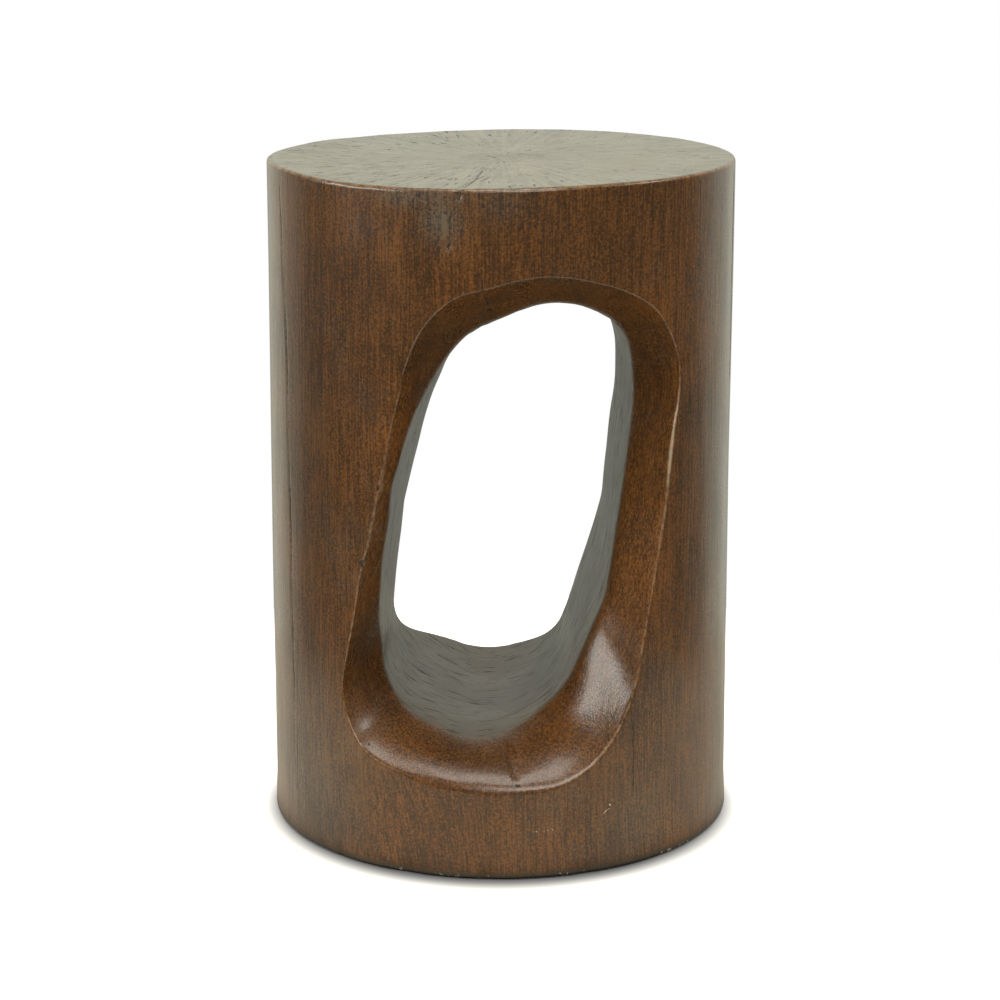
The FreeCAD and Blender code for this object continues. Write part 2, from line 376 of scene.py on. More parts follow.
@dataclass(frozen=True)
class Groove:
    """A check or crack: a V cut into the surface along a line.

    Attributes:
        line: Points on the surface that it runs through.
        half_width: From its middle to its lip.
        depth: How deep it is where it is open.
        broken: How much of its length closes up, 0 to 1.
        seed: Chooses where it closes up.
        dark: How dark it is inside, 0 to 1.
    """

    FIRST_TAPER = 0.08
    LAST_TAPER = 0.12
    GAP_LENGTHS = (0.012, 0.012, 0.012)
    GAP_LIMITS = (-0.4, 0.5)

    line: tuple[Point, ...]
    half_width: float
    depth: float
    broken: float = 0.0
    seed: int = 1
    dark: float = 1.0

    def openness(self, points: Array) -> Array:
        """Measures how open the groove is.

        Args:
            points: The places to ask about.

        Returns:
            From 0 outside the groove to 1 at its bottom.
        """
        line = np.array(self.line)
        runs = np.linalg.norm(np.diff(line, axis=0), axis=1)
        nearest = np.full(len(points), np.inf)
        place = np.zeros(len(points))
        behind = 0.0
        for start, end, run in zip(line[:-1], line[1:], runs):
            share = np.clip((points - start) @ (end - start) / run ** 2, 0.0, 1.0)
            away = np.linalg.norm(points - start - share[:, None] * (end - start), axis=1)
            place = np.where(away < nearest, behind + share * run, place)
            nearest = np.minimum(nearest, away)
            behind += run
        section = np.clip(1.0 - nearest / self.half_width, 0.0, 1.0)
        taper = smooth_step(place, 0.0, self.FIRST_TAPER * behind)
        taper = taper * smooth_step(behind - place, 0.0, self.LAST_TAPER * behind)
        along = np.column_stack((place, 0 * place, 0 * place))
        wander = Ripple(self.seed, self.GAP_LENGTHS, waves=9).at(along)
        closed = self.broken * smooth_step(wander, *self.GAP_LIMITS)
        return section * taper * np.clip(1.0 - closed, 0.0, 1.0)


@dataclass(frozen=True)
class Dent:
    """A soft hollow.

    Attributes:
        middle: A point on the surface.
        radius: How far it reaches.
        depth: How deep it is.
    """

    middle: Point
    radius: float
    depth: float

    def weight(self, points: Array) -> Array:
        """How strongly it is felt at each point."""
        away = np.linalg.norm(points - np.array(self.middle), axis=1)
        return bell(away, 0.0, self.radius)


@dataclass(frozen=True)
class Bulge:
    """A place where the wall stands out from its even taper, or falls short of it.

    Attributes:
        angle: Degrees from the front.
        spread: How far round it reaches, in degrees.
        amount: How far the wall stands out.
        start: The height at which it sets in.
        full: The height at which it is whole.
    """

    angle: float
    spread: float
    amount: float
    start: float
    full: float

    def at(self, theta: Array, z: Array) -> Array:
        """How far the wall stands out at an angle, in radians, and a height."""
        around = bell(turned(theta, self.angle), 0.0, self.spread)
        return self.amount * around * smooth_step(z, self.start, self.full)


class Tint(Enum):
    """What a stain does to the finish; each value is the mark that the finish reads."""

    HAZE = "haze"
    EMBER = "ember"
    STIPPLE = "stipple"
    # Painted shade, not a stain of the wood
    PAINTED_SHADE = "dusk"


@dataclass(frozen=True)
class Stain:
    """A soft patch of the wall with a tint or a surface of its own, or with painted shade.

    Attributes:
        tint: What it does.
        middle: A point on the surface.
        reach: How far it spreads along X, Y and Z.
        strength: How strong it is in the middle, 0 to 1.
    """

    tint: Tint
    middle: Point
    reach: Point
    strength: float

    def weight(self, points: Array) -> Array:
        """How strongly it is felt at each point."""
        away = np.linalg.norm((points - np.array(self.middle)) / np.array(self.reach), axis=1)
        return self.strength * bell(away, 0.0, 1.0)


class MeshDraft:
    """The points, faces and per-point marks of a mesh that is being laid out in rings."""

    MARKS = ("wear", "carved", "throat", "end_grain")

    def __init__(self) -> None:
        """Starts with no points."""
        self.points: list[Array] = []
        self.marks: dict[str, list[Array]] = {name: [] for name in self.MARKS}
        self.faces: list[tuple[int, ...]] = []
        self.count = 0

    def add(self, points: Array, **marks: Array | float) -> Array:
        """Adds points.

        Args:
            points: Their places.
            **marks: The value of each mark, one for all or one for each point.

        Returns:
            The new points' numbers.
        """
        self.points.append(points)
        for name in self.MARKS:
            values = np.asarray(marks.get(name, 0.0), float)
            self.marks[name].append(np.broadcast_to(values, len(points)))
        numbers = np.arange(self.count, self.count + len(points))
        self.count += len(points)
        return numbers

    def grow(self, ring: Array, points: Array, **marks: Array | float) -> Array:
        """Adds a closed ring of points and joins it to the one before with four-sided faces.

        Args:
            ring: The numbers of the ring before.
            points: The places of the new ring.
            **marks: The value of each mark, one for all or one for each point.

        Returns:
            The new ring's numbers.
        """
        new = self.add(points, **marks)
        self.bridge(ring, new)
        return new

    def bridge(self, first: Array, second: Array) -> None:
        """Joins two closed rings of equal length with four-sided faces."""
        quads = np.column_stack((first, np.roll(first, -1), np.roll(second, -1), second))
        self.faces.extend(map(tuple, quads.tolist()))

    def close(self, ring: Array, tip: Array | Point) -> None:
        """Closes a ring of end grain onto one new point.

        Args:
            ring: The ring's numbers.
            tip: Where the new point is.
        """
        hub = self.add(np.array([tip]), end_grain=1.0)
        triangles = np.column_stack((ring, np.roll(ring, -1), np.broadcast_to(hub, len(ring))))
        self.faces.extend(map(tuple, triangles.tolist()))

    def places(self, ring: Array) -> Array:
        """Where the points of a ring are."""
        return np.concatenate(self.points)[ring]

    def mesh(self, name: str) -> bpy.types.Mesh:
        """Makes the mesh, with its faces turned outwards.

        Args:
            name: Its name.

        Returns:
            The mesh.
        """
        mesh = bpy.data.meshes.new(name)
        mesh.from_pydata(np.concatenate(self.points).tolist(), [], self.faces)
        shell = bmesh.new()
        shell.from_mesh(mesh)
        bmesh.ops.recalc_face_normals(shell, faces=shell.faces)
        shell.to_mesh(mesh)
        shell.free()
        mesh.update()
        return mesh

    def mark(self, name: str) -> Array:
        """All values of one mark."""
        return np.concatenate(self.marks[name])


class Corner(Enum):
    """The four feet, by the sign of their x and y."""

    front_left = (-1, -1)
    front_right = (1, -1)
    rear_left = (-1, 1)
    rear_right = (1, 1)


@dataclass(frozen=True)
class Stop:
    """A corner of the wall's two panels, or a check in their edges, that a column of the mesh meets.

    Attributes:
        bearing: Its bearing in the opening, in degrees.
        front: Its angle on the front panel's edge, in degrees from the front.
        rear: Its angle on the rear panel's edge.
        height: Its height.
        fine: Whether the columns close up there.
    """

    bearing: float
    front: float
    rear: float
    height: float
    fine: bool = False


@dataclass
class CarvedLog:
    """The log: a nearly round wall, a worn top, a chipped foot, and the opening carved through it.

    The wall is two panels, front and rear, that meet along the two long checks at left and right. Columns of
    the mesh run from a panel's edge to the mouth, through the opening, and out over the other panel.
    """

    INSIDE = 1
    WELD = 1e-7

    opening: CarvedOpening
    bottom: float = 0.001
    top: float = 0.457
    bottom_radius: float = 0.159
    top_radius: float = 0.1575
    top_round: float = 0.0025
    bottom_chamfer: float = 0.0015
    pith: Span = (0.0013, -0.0059)
    # Height and angle along the two long checks, and how these sway
    left_check: tuple[Span, ...] = (
        (0.0, -61.0), (0.14, -62.3), (0.26, -62.8), (0.37, -63.9), (0.457, -66.3))
    right_check: tuple[Span, ...] = ((0.0, 78.2), (0.20, 79.4), (0.457, 79.6))
    check_sway: float = 0.25
    check_waves: float = 61.0
    # Unevenness of the wall, the rim, the top and the foot
    bulges: tuple[Bulge, ...] = (
        Bulge(-112.0, 15.0, -0.0055, 0.28, 0.45),
        Bulge(95.0, 30.0, 0.0010, 0.20, 0.40),
        Bulge(0.0, 900.0, 0.0008, 0.030, 0.0),
    )
    ripple_radius: float = 0.15
    wall_sway: Ripple = Ripple(5, (0.16, 0.16, 0.34), 0.00045)
    wall_flutes: Ripple = Ripple(7, (0.030, 0.030, 0.35), 0.00016)
    rim_ripple: Ripple = Ripple(11, (0.3, 0.3, 0.3), 0.25)
    top_ripple: Ripple = Ripple(21, (0.03, 0.03, 0.03), 0.28)
    foot_ripple: Ripple = Ripple(31, (0.02, 0.02, 0.02), 0.18)
    gouge_marks: Ripple = Ripple(41, (0.026, 0.030, 0.026), 0.00014)
    wall_marks: Ripple = Ripple(43, (0.020, 0.020, 0.110), 0.00007)
    top_marks: Ripple = Ripple(47, (0.050, 0.050, 0.050), 0.00010)
    saw_right: float = 0.0020
    saw_left: float = 0.0022
    saw_band: Span = (0.405, 0.455)
    # The rim's parts by bearing in degrees: two rise and two fall, or a middle and a spread
    sill: tuple[float, ...] = (238.0, 254.0, 274.0, 288.0)
    crown: tuple[float, ...] = (52.0, 76.0, 96.0, 116.0)
    # The rubbed part at the right is rounded wider, and carries a painted highlight line drawn as extra wear
    rubbed: Span = (28.0, 14.0)
    crown_kept: float = 0.35
    sill_kept: float = 0.9
    # Extra wear at the right of the rim: a painted highlight line
    painted_highlight_wear: float = 0.8
    lip: float = 0.0016
    sill_lip: float = 0.0016
    rubbed_lip: float = 0.0012
    lip_depth: float = 0.9
    lip_shares: tuple[float, ...] = (0.14, 0.32, 0.5, 0.68, 0.86)
    # How finely the mesh is laid
    first_bearing: float = 47.0
    fine_bearings: int = 7201
    column_step: float = 0.0021
    column_distance: float = 0.125
    check_columns: int = 8
    rim_limits: Span = (0.05, 0.166)
    rim_halvings: int = 36
    panel_rings: int = 42
    tunnel_rings: int = 78
    top_rings: int = 34
    top_turns: tuple[float, ...] = (0.25, 0.5, 0.75, 1.0)
    chamfer_steps: tuple[Span, ...] = ((0.16, 0.50), (0.50, 0.84), (1.0, 1.0))
    sharp_angle: float = 52.0
    # The drilled underside
    foot_offset: float = 0.079
    recess_radius: float = 0.0153
    recess_ceiling: float = 0.010
    recess_sides: int = 56
    recess_clear: float = 0.004
    pilot_radius: float = 0.0021
    pilot_end: float = 0.0322
    pilot_tip: float = 0.004
    grid_step: float = 0.012
    grid_half: float = 0.144
    grid_radius: float = 0.146

    def radius(self, theta: Array, z: Array) -> Array:
        """Measures the wall.

        Args:
            theta: Angles from the front, in radians.
            z: Heights.

        Returns:
            The radius at each.
        """
        share = (z - self.bottom) / (self.top - self.bottom)
        even = self.bottom_radius + (self.top_radius - self.bottom_radius) * share
        around = np.column_stack((self.ripple_radius * np.sin(theta), -self.ripple_radius * np.cos(theta), z))
        uneven = self.wall_sway.at(around)
        fluted = self.wall_flutes.at(around)
        return even + uneven + fluted + sum(bulge.at(theta, z) for bulge in self.bulges)

    def wall(self, theta: Array, z: Array) -> Array:
        """Points on the wall."""
        radius = self.radius(theta, z)
        return np.column_stack((radius * np.sin(theta), -radius * np.cos(theta), z))

    def seam_angle(self, check: tuple[Span, ...], height: Array | float) -> Array:
        """Follows a long check up the wall.

        Args:
            check: Heights and angles along it.
            height: Where it is asked for.

        Returns:
            Its angle there, in degrees from the front.
        """
        heights, angles = np.array(check).T
        sway = self.check_sway * np.sin(np.asarray(height) * self.check_waves)
        return np.interp(height, heights, angles) + sway

    def list_stops(self) -> tuple[Stop, ...]:
        """Lists the stops that the columns meet, once round the opening.

        Returns:
            The stops, of which the last is the first again.
        """
        high = self.top - self.top_round
        low = self.bottom + self.bottom_chamfer
        left_top, left_low = (self.seam_angle(self.left_check, height) for height in (high, low))
        right_top, right_low = (self.seam_angle(self.right_check, height) for height in (high, low))
        return (
            Stop(self.first_bearing, right_top, right_top, high),
            Stop(95.3, -9.7, 187.0, high, True),
            Stop(129.0, left_top, left_top + FULL_TURN, high),
            Stop(230.0, left_low, left_low + FULL_TURN, low),
            Stop(271.0, 3.4, 175.0, low, True),
            Stop(314.0, right_low, right_low, low),
            Stop(self.first_bearing + FULL_TURN, right_top, right_top, high),
        )

    def plan_columns(self) -> None:
        """Sets out the columns: their bearings in the opening and where they reach the panels' edges."""
        fine = np.radians(np.linspace(self.first_bearing, self.first_bearing + FULL_TURN, self.fine_bearings))
        self.opening.take_bearings(fine)
        middle = np.full(fine.shape, -self.column_distance)
        outline = self.opening.place(self.opening.cone_reach(middle), middle)
        arc = np.concatenate(([0.0], np.cumsum(np.linalg.norm(np.diff(outline, axis=0), axis=1))))
        bearings = []
        front = []
        rear = []
        heights = []
        starts = []
        stops = self.list_stops()
        for here, there in zip(stops[:-1], stops[1:]):
            begin, end = np.interp(np.radians([here.bearing, there.bearing]), fine, arc)
            extra = self.check_columns if here.fine or there.fine else 0
            count = math.ceil((end - begin) / self.column_step) + extra
            share = graded_shares(count, here.fine, there.fine)[:-1]
            starts.append(sum(map(len, bearings)))
            bearings.append(np.interp(begin + (end - begin) * share, arc, fine))
            height = here.height + (there.height - here.height) * share
            heights.append(height)
            if here.height != there.height:
                at_left = here.front < 0.0
                angle = self.seam_angle(self.left_check if at_left else self.right_check, height)
                front.append(angle)
                rear.append(angle + (FULL_TURN if at_left else 0.0))
            else:
                front.append(here.front + (there.front - here.front) * share)
                rear.append(here.rear + (there.rear - here.rear) * share)
        _, _, self.top_left, self.bottom_left, _, self.bottom_right = starts
        self.bearings = np.concatenate(bearings)
        self.front_edge = np.radians(np.concatenate(front))
        self.rear_edge = np.radians(np.concatenate(rear))
        self.edge_height = np.concatenate(heights)
        self.opening.take_bearings(self.bearings)
        self.opening.set_rims(self.find_rim(-1.0), self.find_rim(1.0))

    def find_rim(self, side: float) -> Array:
        """Finds where the carved wall leaves the log.

        Args:
            side: -1 at the front, 1 at the rear.

        Returns:
            The distance of the rim from the middle plane, for each column.
        """
        near, far = (np.full(self.bearings.shape, limit) for limit in self.rim_limits)
        for _ in range(self.rim_halvings):
            middle = 0.5 * (near + far)
            place = self.opening.place(self.opening.cone_reach(middle), side * middle)
            theta = np.arctan2(place[:, 0], -place[:, 1])
            outside = np.hypot(place[:, 0], place[:, 1]) > self.radius(theta, place[:, 2])
            far = np.where(outside, middle, far)
            near = np.where(outside, near, middle)
        return 0.5 * (near + far)

    def within(self, span: tuple[float, ...]) -> Array:
        """Measures how far within a part of the rim each column lies.

        Args:
            span: Where it sets in, is whole, begins to fade and ends, in degrees.

        Returns:
            From 0 outside the span to 1 well inside it.
        """
        start, full, fading, end = span
        bearing = np.degrees(self.bearings) % FULL_TURN
        return smooth_step(bearing, start, full) * smooth_step(bearing, end, fading)

    def near_rub_highlight(self) -> Array:
        """How near each column is to the rubbed part of the rim at the right, where a highlight line is
        painted as wear, from 0 to 1.
        """
        middle, spread = self.rubbed
        return bell(turned(self.bearings, middle), 0.0, spread)

    def lip_wear_and_highlight(self) -> Array:
        """How far the rim is worn pale: least on the sill and under the top, most at the right, where the
        extra wear is a painted highlight line.
        """
        worn = 1.0 - self.crown_kept * self.within(self.crown) - self.sill_kept * self.within(self.sill)
        return worn * (1.0 + self.painted_highlight_wear * self.near_rub_highlight())

    def lip_width(self, side: float) -> Array:
        """Measures how far the rim is rubbed round.

        Args:
            side: -1 at the front, 1 at the rear.

        Returns:
            The width of the rubbed lip, for each column.
        """
        steady = level(np.column_stack((np.cos(self.bearings), np.sin(self.bearings))), side)
        width = self.lip + self.sill_lip * self.within(self.sill) + self.rubbed_lip * self.near_rub_highlight()
        return width * (1.0 + self.rim_ripple.at(steady))

    def lay_panel(self, draft: MeshDraft, side: float, shared: Array | None) -> tuple[Array, Array, Array]:
        """Lays one panel of the wall, from its edge in to the worn rim.

        Args:
            draft: Where the mesh is laid.
            side: -1 for the front panel, 1 for the rear.
            shared: The other panel's edge, whose points at the two checks are used again.

        Returns:
            The panel's edge, its innermost ring, and that ring's distance from the middle plane.
        """
        rim = self.opening.rim_distance[0 if side < 0.0 else 1]
        corner = self.opening.points(side * rim)
        theta = np.arctan2(corner[:, 0], -corner[:, 1])
        edge = self.front_edge
        if side > 0.0:
            theta = theta % TAU
            edge = self.rear_edge
        mean = 0.5 * (self.bottom_radius + self.top_radius)
        lip = self.lip_width(side)
        length = np.hypot((edge - theta) * mean, self.edge_height - corner[:, 2])
        rows = []
        for share in graded_shares(self.panel_rings, True, True)[::-1]:
            way = (lip + (length - lip) * share) / length
            angle = theta + (edge - theta) * way
            rows.append(self.wall(angle, corner[:, 2] + (self.edge_height - corner[:, 2]) * way))
        outer = draft.add(rows[0]) if shared is None else self.share_edge(draft, rows[0], shared)
        ring = outer
        for row in rows[1:]:
            ring = draft.grow(ring, row)
        inner = rim - self.lip_depth * lip
        inside = self.opening.points(side * inner)
        for share in self.lip_shares:
            curve = (1.0 - share) ** 2 * rows[-1] + 2.0 * share * (1.0 - share) * corner + share ** 2 * inside
            wear = math.sin(math.pi * share) * self.lip_wear_and_highlight()
            ring = draft.grow(ring, curve, wear=wear, carved=share)
        return outer, ring, inner

    def share_edge(self, draft: MeshDraft, points: Array, shared: Array) -> Array:
        """Adds a panel's edge, taking the other panel's points along the two checks.

        Args:
            draft: Where the mesh is laid.
            points: The panel's edge.
            shared: The other panel's edge.

        Returns:
            The edge's numbers.
        """
        index = np.arange(len(points))
        at_top = (index > 0) & (index < self.top_left)
        at_bottom = (index > self.bottom_left) & (index < self.bottom_right)
        own = at_top | at_bottom
        ring = shared.copy()
        ring[own] = draft.add(points[own])
        return ring

    def lay_tunnel(self, draft: MeshDraft, front: Array, rear: Array, start: Array, end: Array) -> None:
        """Lays the carved wall between the two rims.

        Args:
            draft: Where the mesh is laid.
            front: The front panel's innermost ring.
            rear: The rear panel's innermost ring.
            start: The front ring's distance from the middle plane.
            end: The rear ring's distance from it.
        """
        ring = front
        for share in graded_shares(self.tunnel_rings, True, True):
            points = self.opening.points(-start + (end + start) * share)
            ring = draft.grow(ring, points, carved=1.0, throat=self.opening.in_throat)
        draft.bridge(ring, rear)

    def edge_loop(self, front: Array, rear: Array, top: bool) -> Array:
        """Follows the panels' top or bottom edge once round the log.

        Args:
            front: The front panel's edge.
            rear: The rear panel's edge.
            top: Whether the top is wanted.

        Returns:
            The edge's points in order.
        """
        first, last = (0, self.top_left) if top else (self.bottom_left, self.bottom_right)
        behind = rear[first:last + 1][::-1]
        return np.concatenate((front[first:last + 1], behind[1:-1]))

    @staticmethod
    def drawn_in(base: Array, amount: Array) -> Array:
        """The x and y of an edge, drawn in towards the log's middle."""
        outward = base[:, :2] / np.linalg.norm(base[:, :2], axis=1)[:, None]
        return base[:, :2] - outward * amount[:, None]

    def lay_top(self, draft: MeshDraft, loop: Array) -> None:
        """Lays the rounded top edge and the top, in rings round the pith.

        Args:
            draft: Where the mesh is laid.
            loop: The wall's top edge.
        """
        base = draft.places(loop)
        width = self.top_round * (1.0 + self.top_ripple.at(base))
        ring = loop
        for turn in self.top_turns:
            angle = 0.25 * TAU * turn
            plan = self.drawn_in(base, width * (1.0 - math.cos(angle)))
            height = base[:, 2] + self.top_round * math.sin(angle)
            wear = math.sin(math.pi * min(turn, 0.98))
            end_grain = float(smooth_step(np.array(turn), 0.3, 1.0))
            ring = draft.grow(ring, level(plan, height), wear=wear, end_grain=end_grain)
        edge = draft.places(ring)
        hub = np.array((*self.pith, self.top))
        for share in (1.0 - graded_shares(self.top_rings, True, False))[1:-1]:
            ring = draft.grow(ring, hub + (edge - hub) * share, end_grain=1.0)
        draft.close(ring, hub)

    def foot_place(self, corner: Corner) -> Array:
        """The x and y of a foot's middle."""
        return self.foot_offset * np.array(corner.value, float)

    def lay_bottom(self, draft: MeshDraft, loop: Array) -> None:
        """Lays the chamfered foot of the log, its flat underside and the drilled recesses of the feet.

        Args:
            draft: Where the mesh is laid.
            loop: The wall's bottom edge.
        """
        base = draft.places(loop)
        uneven = 1.0 + self.foot_ripple.at(base)
        ring = loop
        for inward, drop in self.chamfer_steps:
            plan = self.drawn_in(base, inward * self.bottom_chamfer * uneven)
            ring = draft.grow(ring, level(plan, base[:, 2] - drop * self.bottom_chamfer), end_grain=0.3)
        rings = [ring, *(self.lay_recess(draft, self.foot_place(corner)) for corner in Corner)]
        links = []
        for outline in rings:
            start = links[-1][0] + 1 if links else 0
            links.extend((start + k, start + (k + 1) % len(outline)) for k in range(len(outline)))
        rings.append(draft.add(level(self.underside_grid(), self.bottom), end_grain=1.0))
        numbers = np.concatenate(rings)
        flat = [Vector(place) for place in draft.places(numbers)[:, :2].tolist()]
        places, _, triangles, origins, _, _ = delaunay_2d_cdt(flat, links, [], self.INSIDE, self.WELD)
        hole = 0.999 * self.recess_radius * math.cos(math.pi / self.recess_sides)
        for triangle in triangles:
            middle = np.mean([places[k][:] for k in triangle], axis=0)
            if min(np.linalg.norm(middle - self.foot_place(corner)) for corner in Corner) > hole:
                draft.faces.append(tuple(int(numbers[origins[k][0]]) for k in triangle))

    def underside_grid(self) -> Array:
        """Spreads points over the underside, clear of the recesses.

        Returns:
            Their x and y, one to a row.
        """
        spots = np.arange(-self.grid_half, self.grid_half + 0.0001, self.grid_step)
        grid = np.array([(x, y) for x in spots for y in spots if math.hypot(x, y) < self.grid_radius])
        for corner in Corner:
            away = np.linalg.norm(grid - self.foot_place(corner), axis=1)
            grid = grid[away > self.recess_radius + self.recess_clear]
        return grid

    def lay_recess(self, draft: MeshDraft, centre: Array) -> Array:
        """Lays one foot's recess and the pilot hole of its screw.

        Args:
            draft: Where the mesh is laid.
            centre: The recess's x and y.

        Returns:
            The ring at the underside.
        """
        around = np.linspace(0.0, TAU, self.recess_sides, endpoint=False)
        circle = np.column_stack((np.cos(around), np.sin(around)))
        first = draft.add(level(centre + self.recess_radius * circle, self.bottom), end_grain=1.0)
        ring = first
        for radius, height in (
                (self.recess_radius, self.recess_ceiling), (self.pilot_radius, self.recess_ceiling),
                (self.pilot_radius, self.pilot_end - self.pilot_tip)):
            ring = draft.grow(ring, level(centre + radius * circle, height), end_grain=1.0)
        draft.close(ring, (*centre, self.pilot_end))
        return first

    def check_line(self, check: tuple[Span, ...], low: float, count: int) -> tuple[Point, ...]:
        """Points along a long check, from a height up to the top."""
        heights = np.linspace(low, self.top, count)
        return tuple(map(tuple, self.wall(np.radians(self.seam_angle(check, heights)), heights)))

    def grooves(self) -> tuple[Groove, ...]:
        """The checks and cracks that are deep enough to see as shape."""
        return (
            Groove(self.check_line(self.left_check, 0.03, 40), 0.0010, 0.0005, 0.35, 3, 0.3),
            Groove(self.check_line(self.right_check, 0.30, 24), 0.0008, 0.0014, 0.6, 8),
            Groove(((-0.0189, -0.1284, 0.457), (-0.0262, -0.1553, 0.456), (-0.0273, -0.1551, 0.4414),
                    (-0.0262, -0.1553, 0.4260)), 0.0026, 0.0010, 0.3, 14, 0.2),
            Groove(((-0.0130, -0.1570, 0.4060), (-0.0110, -0.1560, 0.3930), (-0.0080, -0.1430, 0.3830),
                    (-0.0060, -0.1350, 0.3770), (-0.0040, -0.1100, 0.3710)), 0.0024, 0.0016, 0.6, 19, 0.5),
            Groove(((0.0080, -0.1400, 0.457), (0.0087, -0.1548, 0.4569), (0.0112, -0.1571, 0.4460)),
                   0.0013, 0.0010, 0.3, 23, 0.4),
            Groove(((0.0030, -0.1220, 0.0810), (0.0070, -0.1380, 0.0750), (0.0120, -0.1540, 0.0660)),
                   0.0040, 0.0011, 0.3, 27, 0.0),
        )

    def dents(self) -> tuple[Dent, ...]:
        """The soft hollows, pits and chips that are deep enough to see as shape."""
        return (
            Dent((-0.0256, -0.1555, 0.4530), 0.0035, 0.0010),
            Dent((-0.0324, -0.1546, 0.4218), 0.0028, 0.0012),
            Dent((0.0110, -0.1400, 0.0685), 0.010, 0.0016),
            Dent((-0.0620, -0.1440, 0.3360), 0.006, 0.0012),
            Dent((0.1160, -0.1060, 0.3390), 0.005, 0.0010),
            Dent((-0.0893, -0.1307, 0.2090), 0.003, 0.0012),
            Dent((-0.0786, -0.1371, 0.2611), 0.003, 0.0012),
            Dent((-0.0600, -0.1070, 0.2860), 0.003, 0.0010),
            Dent((-0.1060, -0.1180, 0.0020), 0.004, 0.0008),
            Dent((-0.0600, -0.1460, 0.0020), 0.006, 0.0008),
            Dent((-0.0080, -0.1580, 0.0020), 0.005, 0.0007),
            Dent((0.0560, -0.1470, 0.0020), 0.006, 0.0008),
            Dent((0.0300, 0.1550, 0.0020), 0.006, 0.0008),
            Dent((-0.1100, 0.1130, 0.0020), 0.005, 0.0008),
        )

    def stains(self) -> tuple[Stain, ...]:
        """The patches of the wall that differ in tint or surface, and the patches of painted shade."""
        return (
            Stain(Tint.HAZE, (-0.0370, -0.1535, 0.4380), (0.014, 0.03, 0.016), 0.95),
            Stain(Tint.HAZE, (-0.0500, -0.1500, 0.4520), (0.034, 0.03, 0.008), 0.80),
            Stain(Tint.HAZE, (-0.1240, -0.0980, 0.0450), (0.035, 0.05, 0.050), 0.50),
            Stain(Tint.HAZE, (0.0000, -0.1580, 0.4480), (0.020, 0.03, 0.012), 0.45),
            Stain(Tint.HAZE, (0.0900, -0.1300, 0.0300), (0.030, 0.04, 0.030), 0.40),
            Stain(Tint.EMBER, (-0.0188, -0.1569, 0.3990), (0.030, 0.03, 0.026), 0.75),
            Stain(Tint.EMBER, (-0.0737, -0.1398, 0.2950), (0.016, 0.03, 0.040), 0.75),
            Stain(Tint.EMBER, (-0.0600, -0.1450, 0.0300), (0.030, 0.03, 0.030), 0.70),
            Stain(Tint.EMBER, (0.0200, -0.1570, 0.0300), (0.050, 0.04, 0.030), 0.60),
            Stain(Tint.EMBER, (0.0000, -0.1560, 0.0660), (0.060, 0.02, 0.006), 0.55),
            # Painted shade over the left of the front wall, top to bottom, and over the bottom bevel of the
            # opening
            Stain(Tint.PAINTED_SHADE, (-0.1280, -0.0920, 0.2600), (0.035, 0.05, 0.300), 0.90),
            Stain(Tint.PAINTED_SHADE, (-0.1000, -0.1200, 0.4000), (0.045, 0.04, 0.050), 0.60),
            Stain(Tint.PAINTED_SHADE, (-0.1100, -0.1120, 0.0450), (0.035, 0.04, 0.050), 0.60),
            Stain(Tint.PAINTED_SHADE, (-0.0100, -0.1150, 0.0780), (0.060, 0.03, 0.020), 0.75),
            Stain(Tint.STIPPLE, (0.0666, -0.1428, 0.4174), (0.030, 0.03, 0.020), 1.00),
            Stain(Tint.STIPPLE, (0.0150, -0.1570, 0.4050), (0.040, 0.03, 0.010), 0.60),
            Stain(Tint.STIPPLE, (0.0660, -0.1150, 0.1050), (0.020, 0.03, 0.016), 0.60),
            Stain(Tint.STIPPLE, (0.0000, -0.1560, 0.0600), (0.045, 0.02, 0.008), 0.60),
        )

    def saw_lift(self, points: Array) -> Array:
        """Tells how much higher the saw left the top towards the right, and at the far left.

        Args:
            points: The places to ask about.

        Returns:
            How far each is lifted.
        """
        to_right = self.saw_right * smooth_step(points[:, 0], -0.08, 0.09)
        to_left = self.saw_left * smooth_step(points[:, 0], -0.10, -0.15)
        return (to_right + to_left) * smooth_step(points[:, 2], *self.saw_band)

    @staticmethod
    def brush_drift(points: Array) -> Array:
        """How far the grain's strokes slant aside, low on the left of the front."""
        slant = 0.23 * bell(points[:, 0], -0.055, 0.045) * (points[:, 1] < 0.0)
        return slant * np.maximum(0.078 - points[:, 2], 0.0)

    def build(self) -> bpy.types.Object:
        """Builds the log's mesh, with its checks, dents and tool marks.

        Returns:
            The log as an object in the scene.
        """
        self.plan_columns()
        draft = MeshDraft()
        front_edge, front_lip, front_rim = self.lay_panel(draft, -1.0, None)
        rear_edge, rear_lip, rear_rim = self.lay_panel(draft, 1.0, front_edge)
        self.lay_tunnel(draft, front_lip, rear_lip, front_rim, rear_rim)
        self.lay_top(draft, self.edge_loop(front_edge, rear_edge, True))
        self.lay_bottom(draft, self.edge_loop(front_edge, rear_edge, False))
        mesh = draft.mesh("carved_log")
        log = stand("carved_log", mesh)
        self.work_surface(mesh, draft)
        mesh.polygons.foreach_set("use_smooth", [True] * len(mesh.polygons))
        mesh.set_sharp_from_angle(angle=math.radians(self.sharp_angle))
        return log

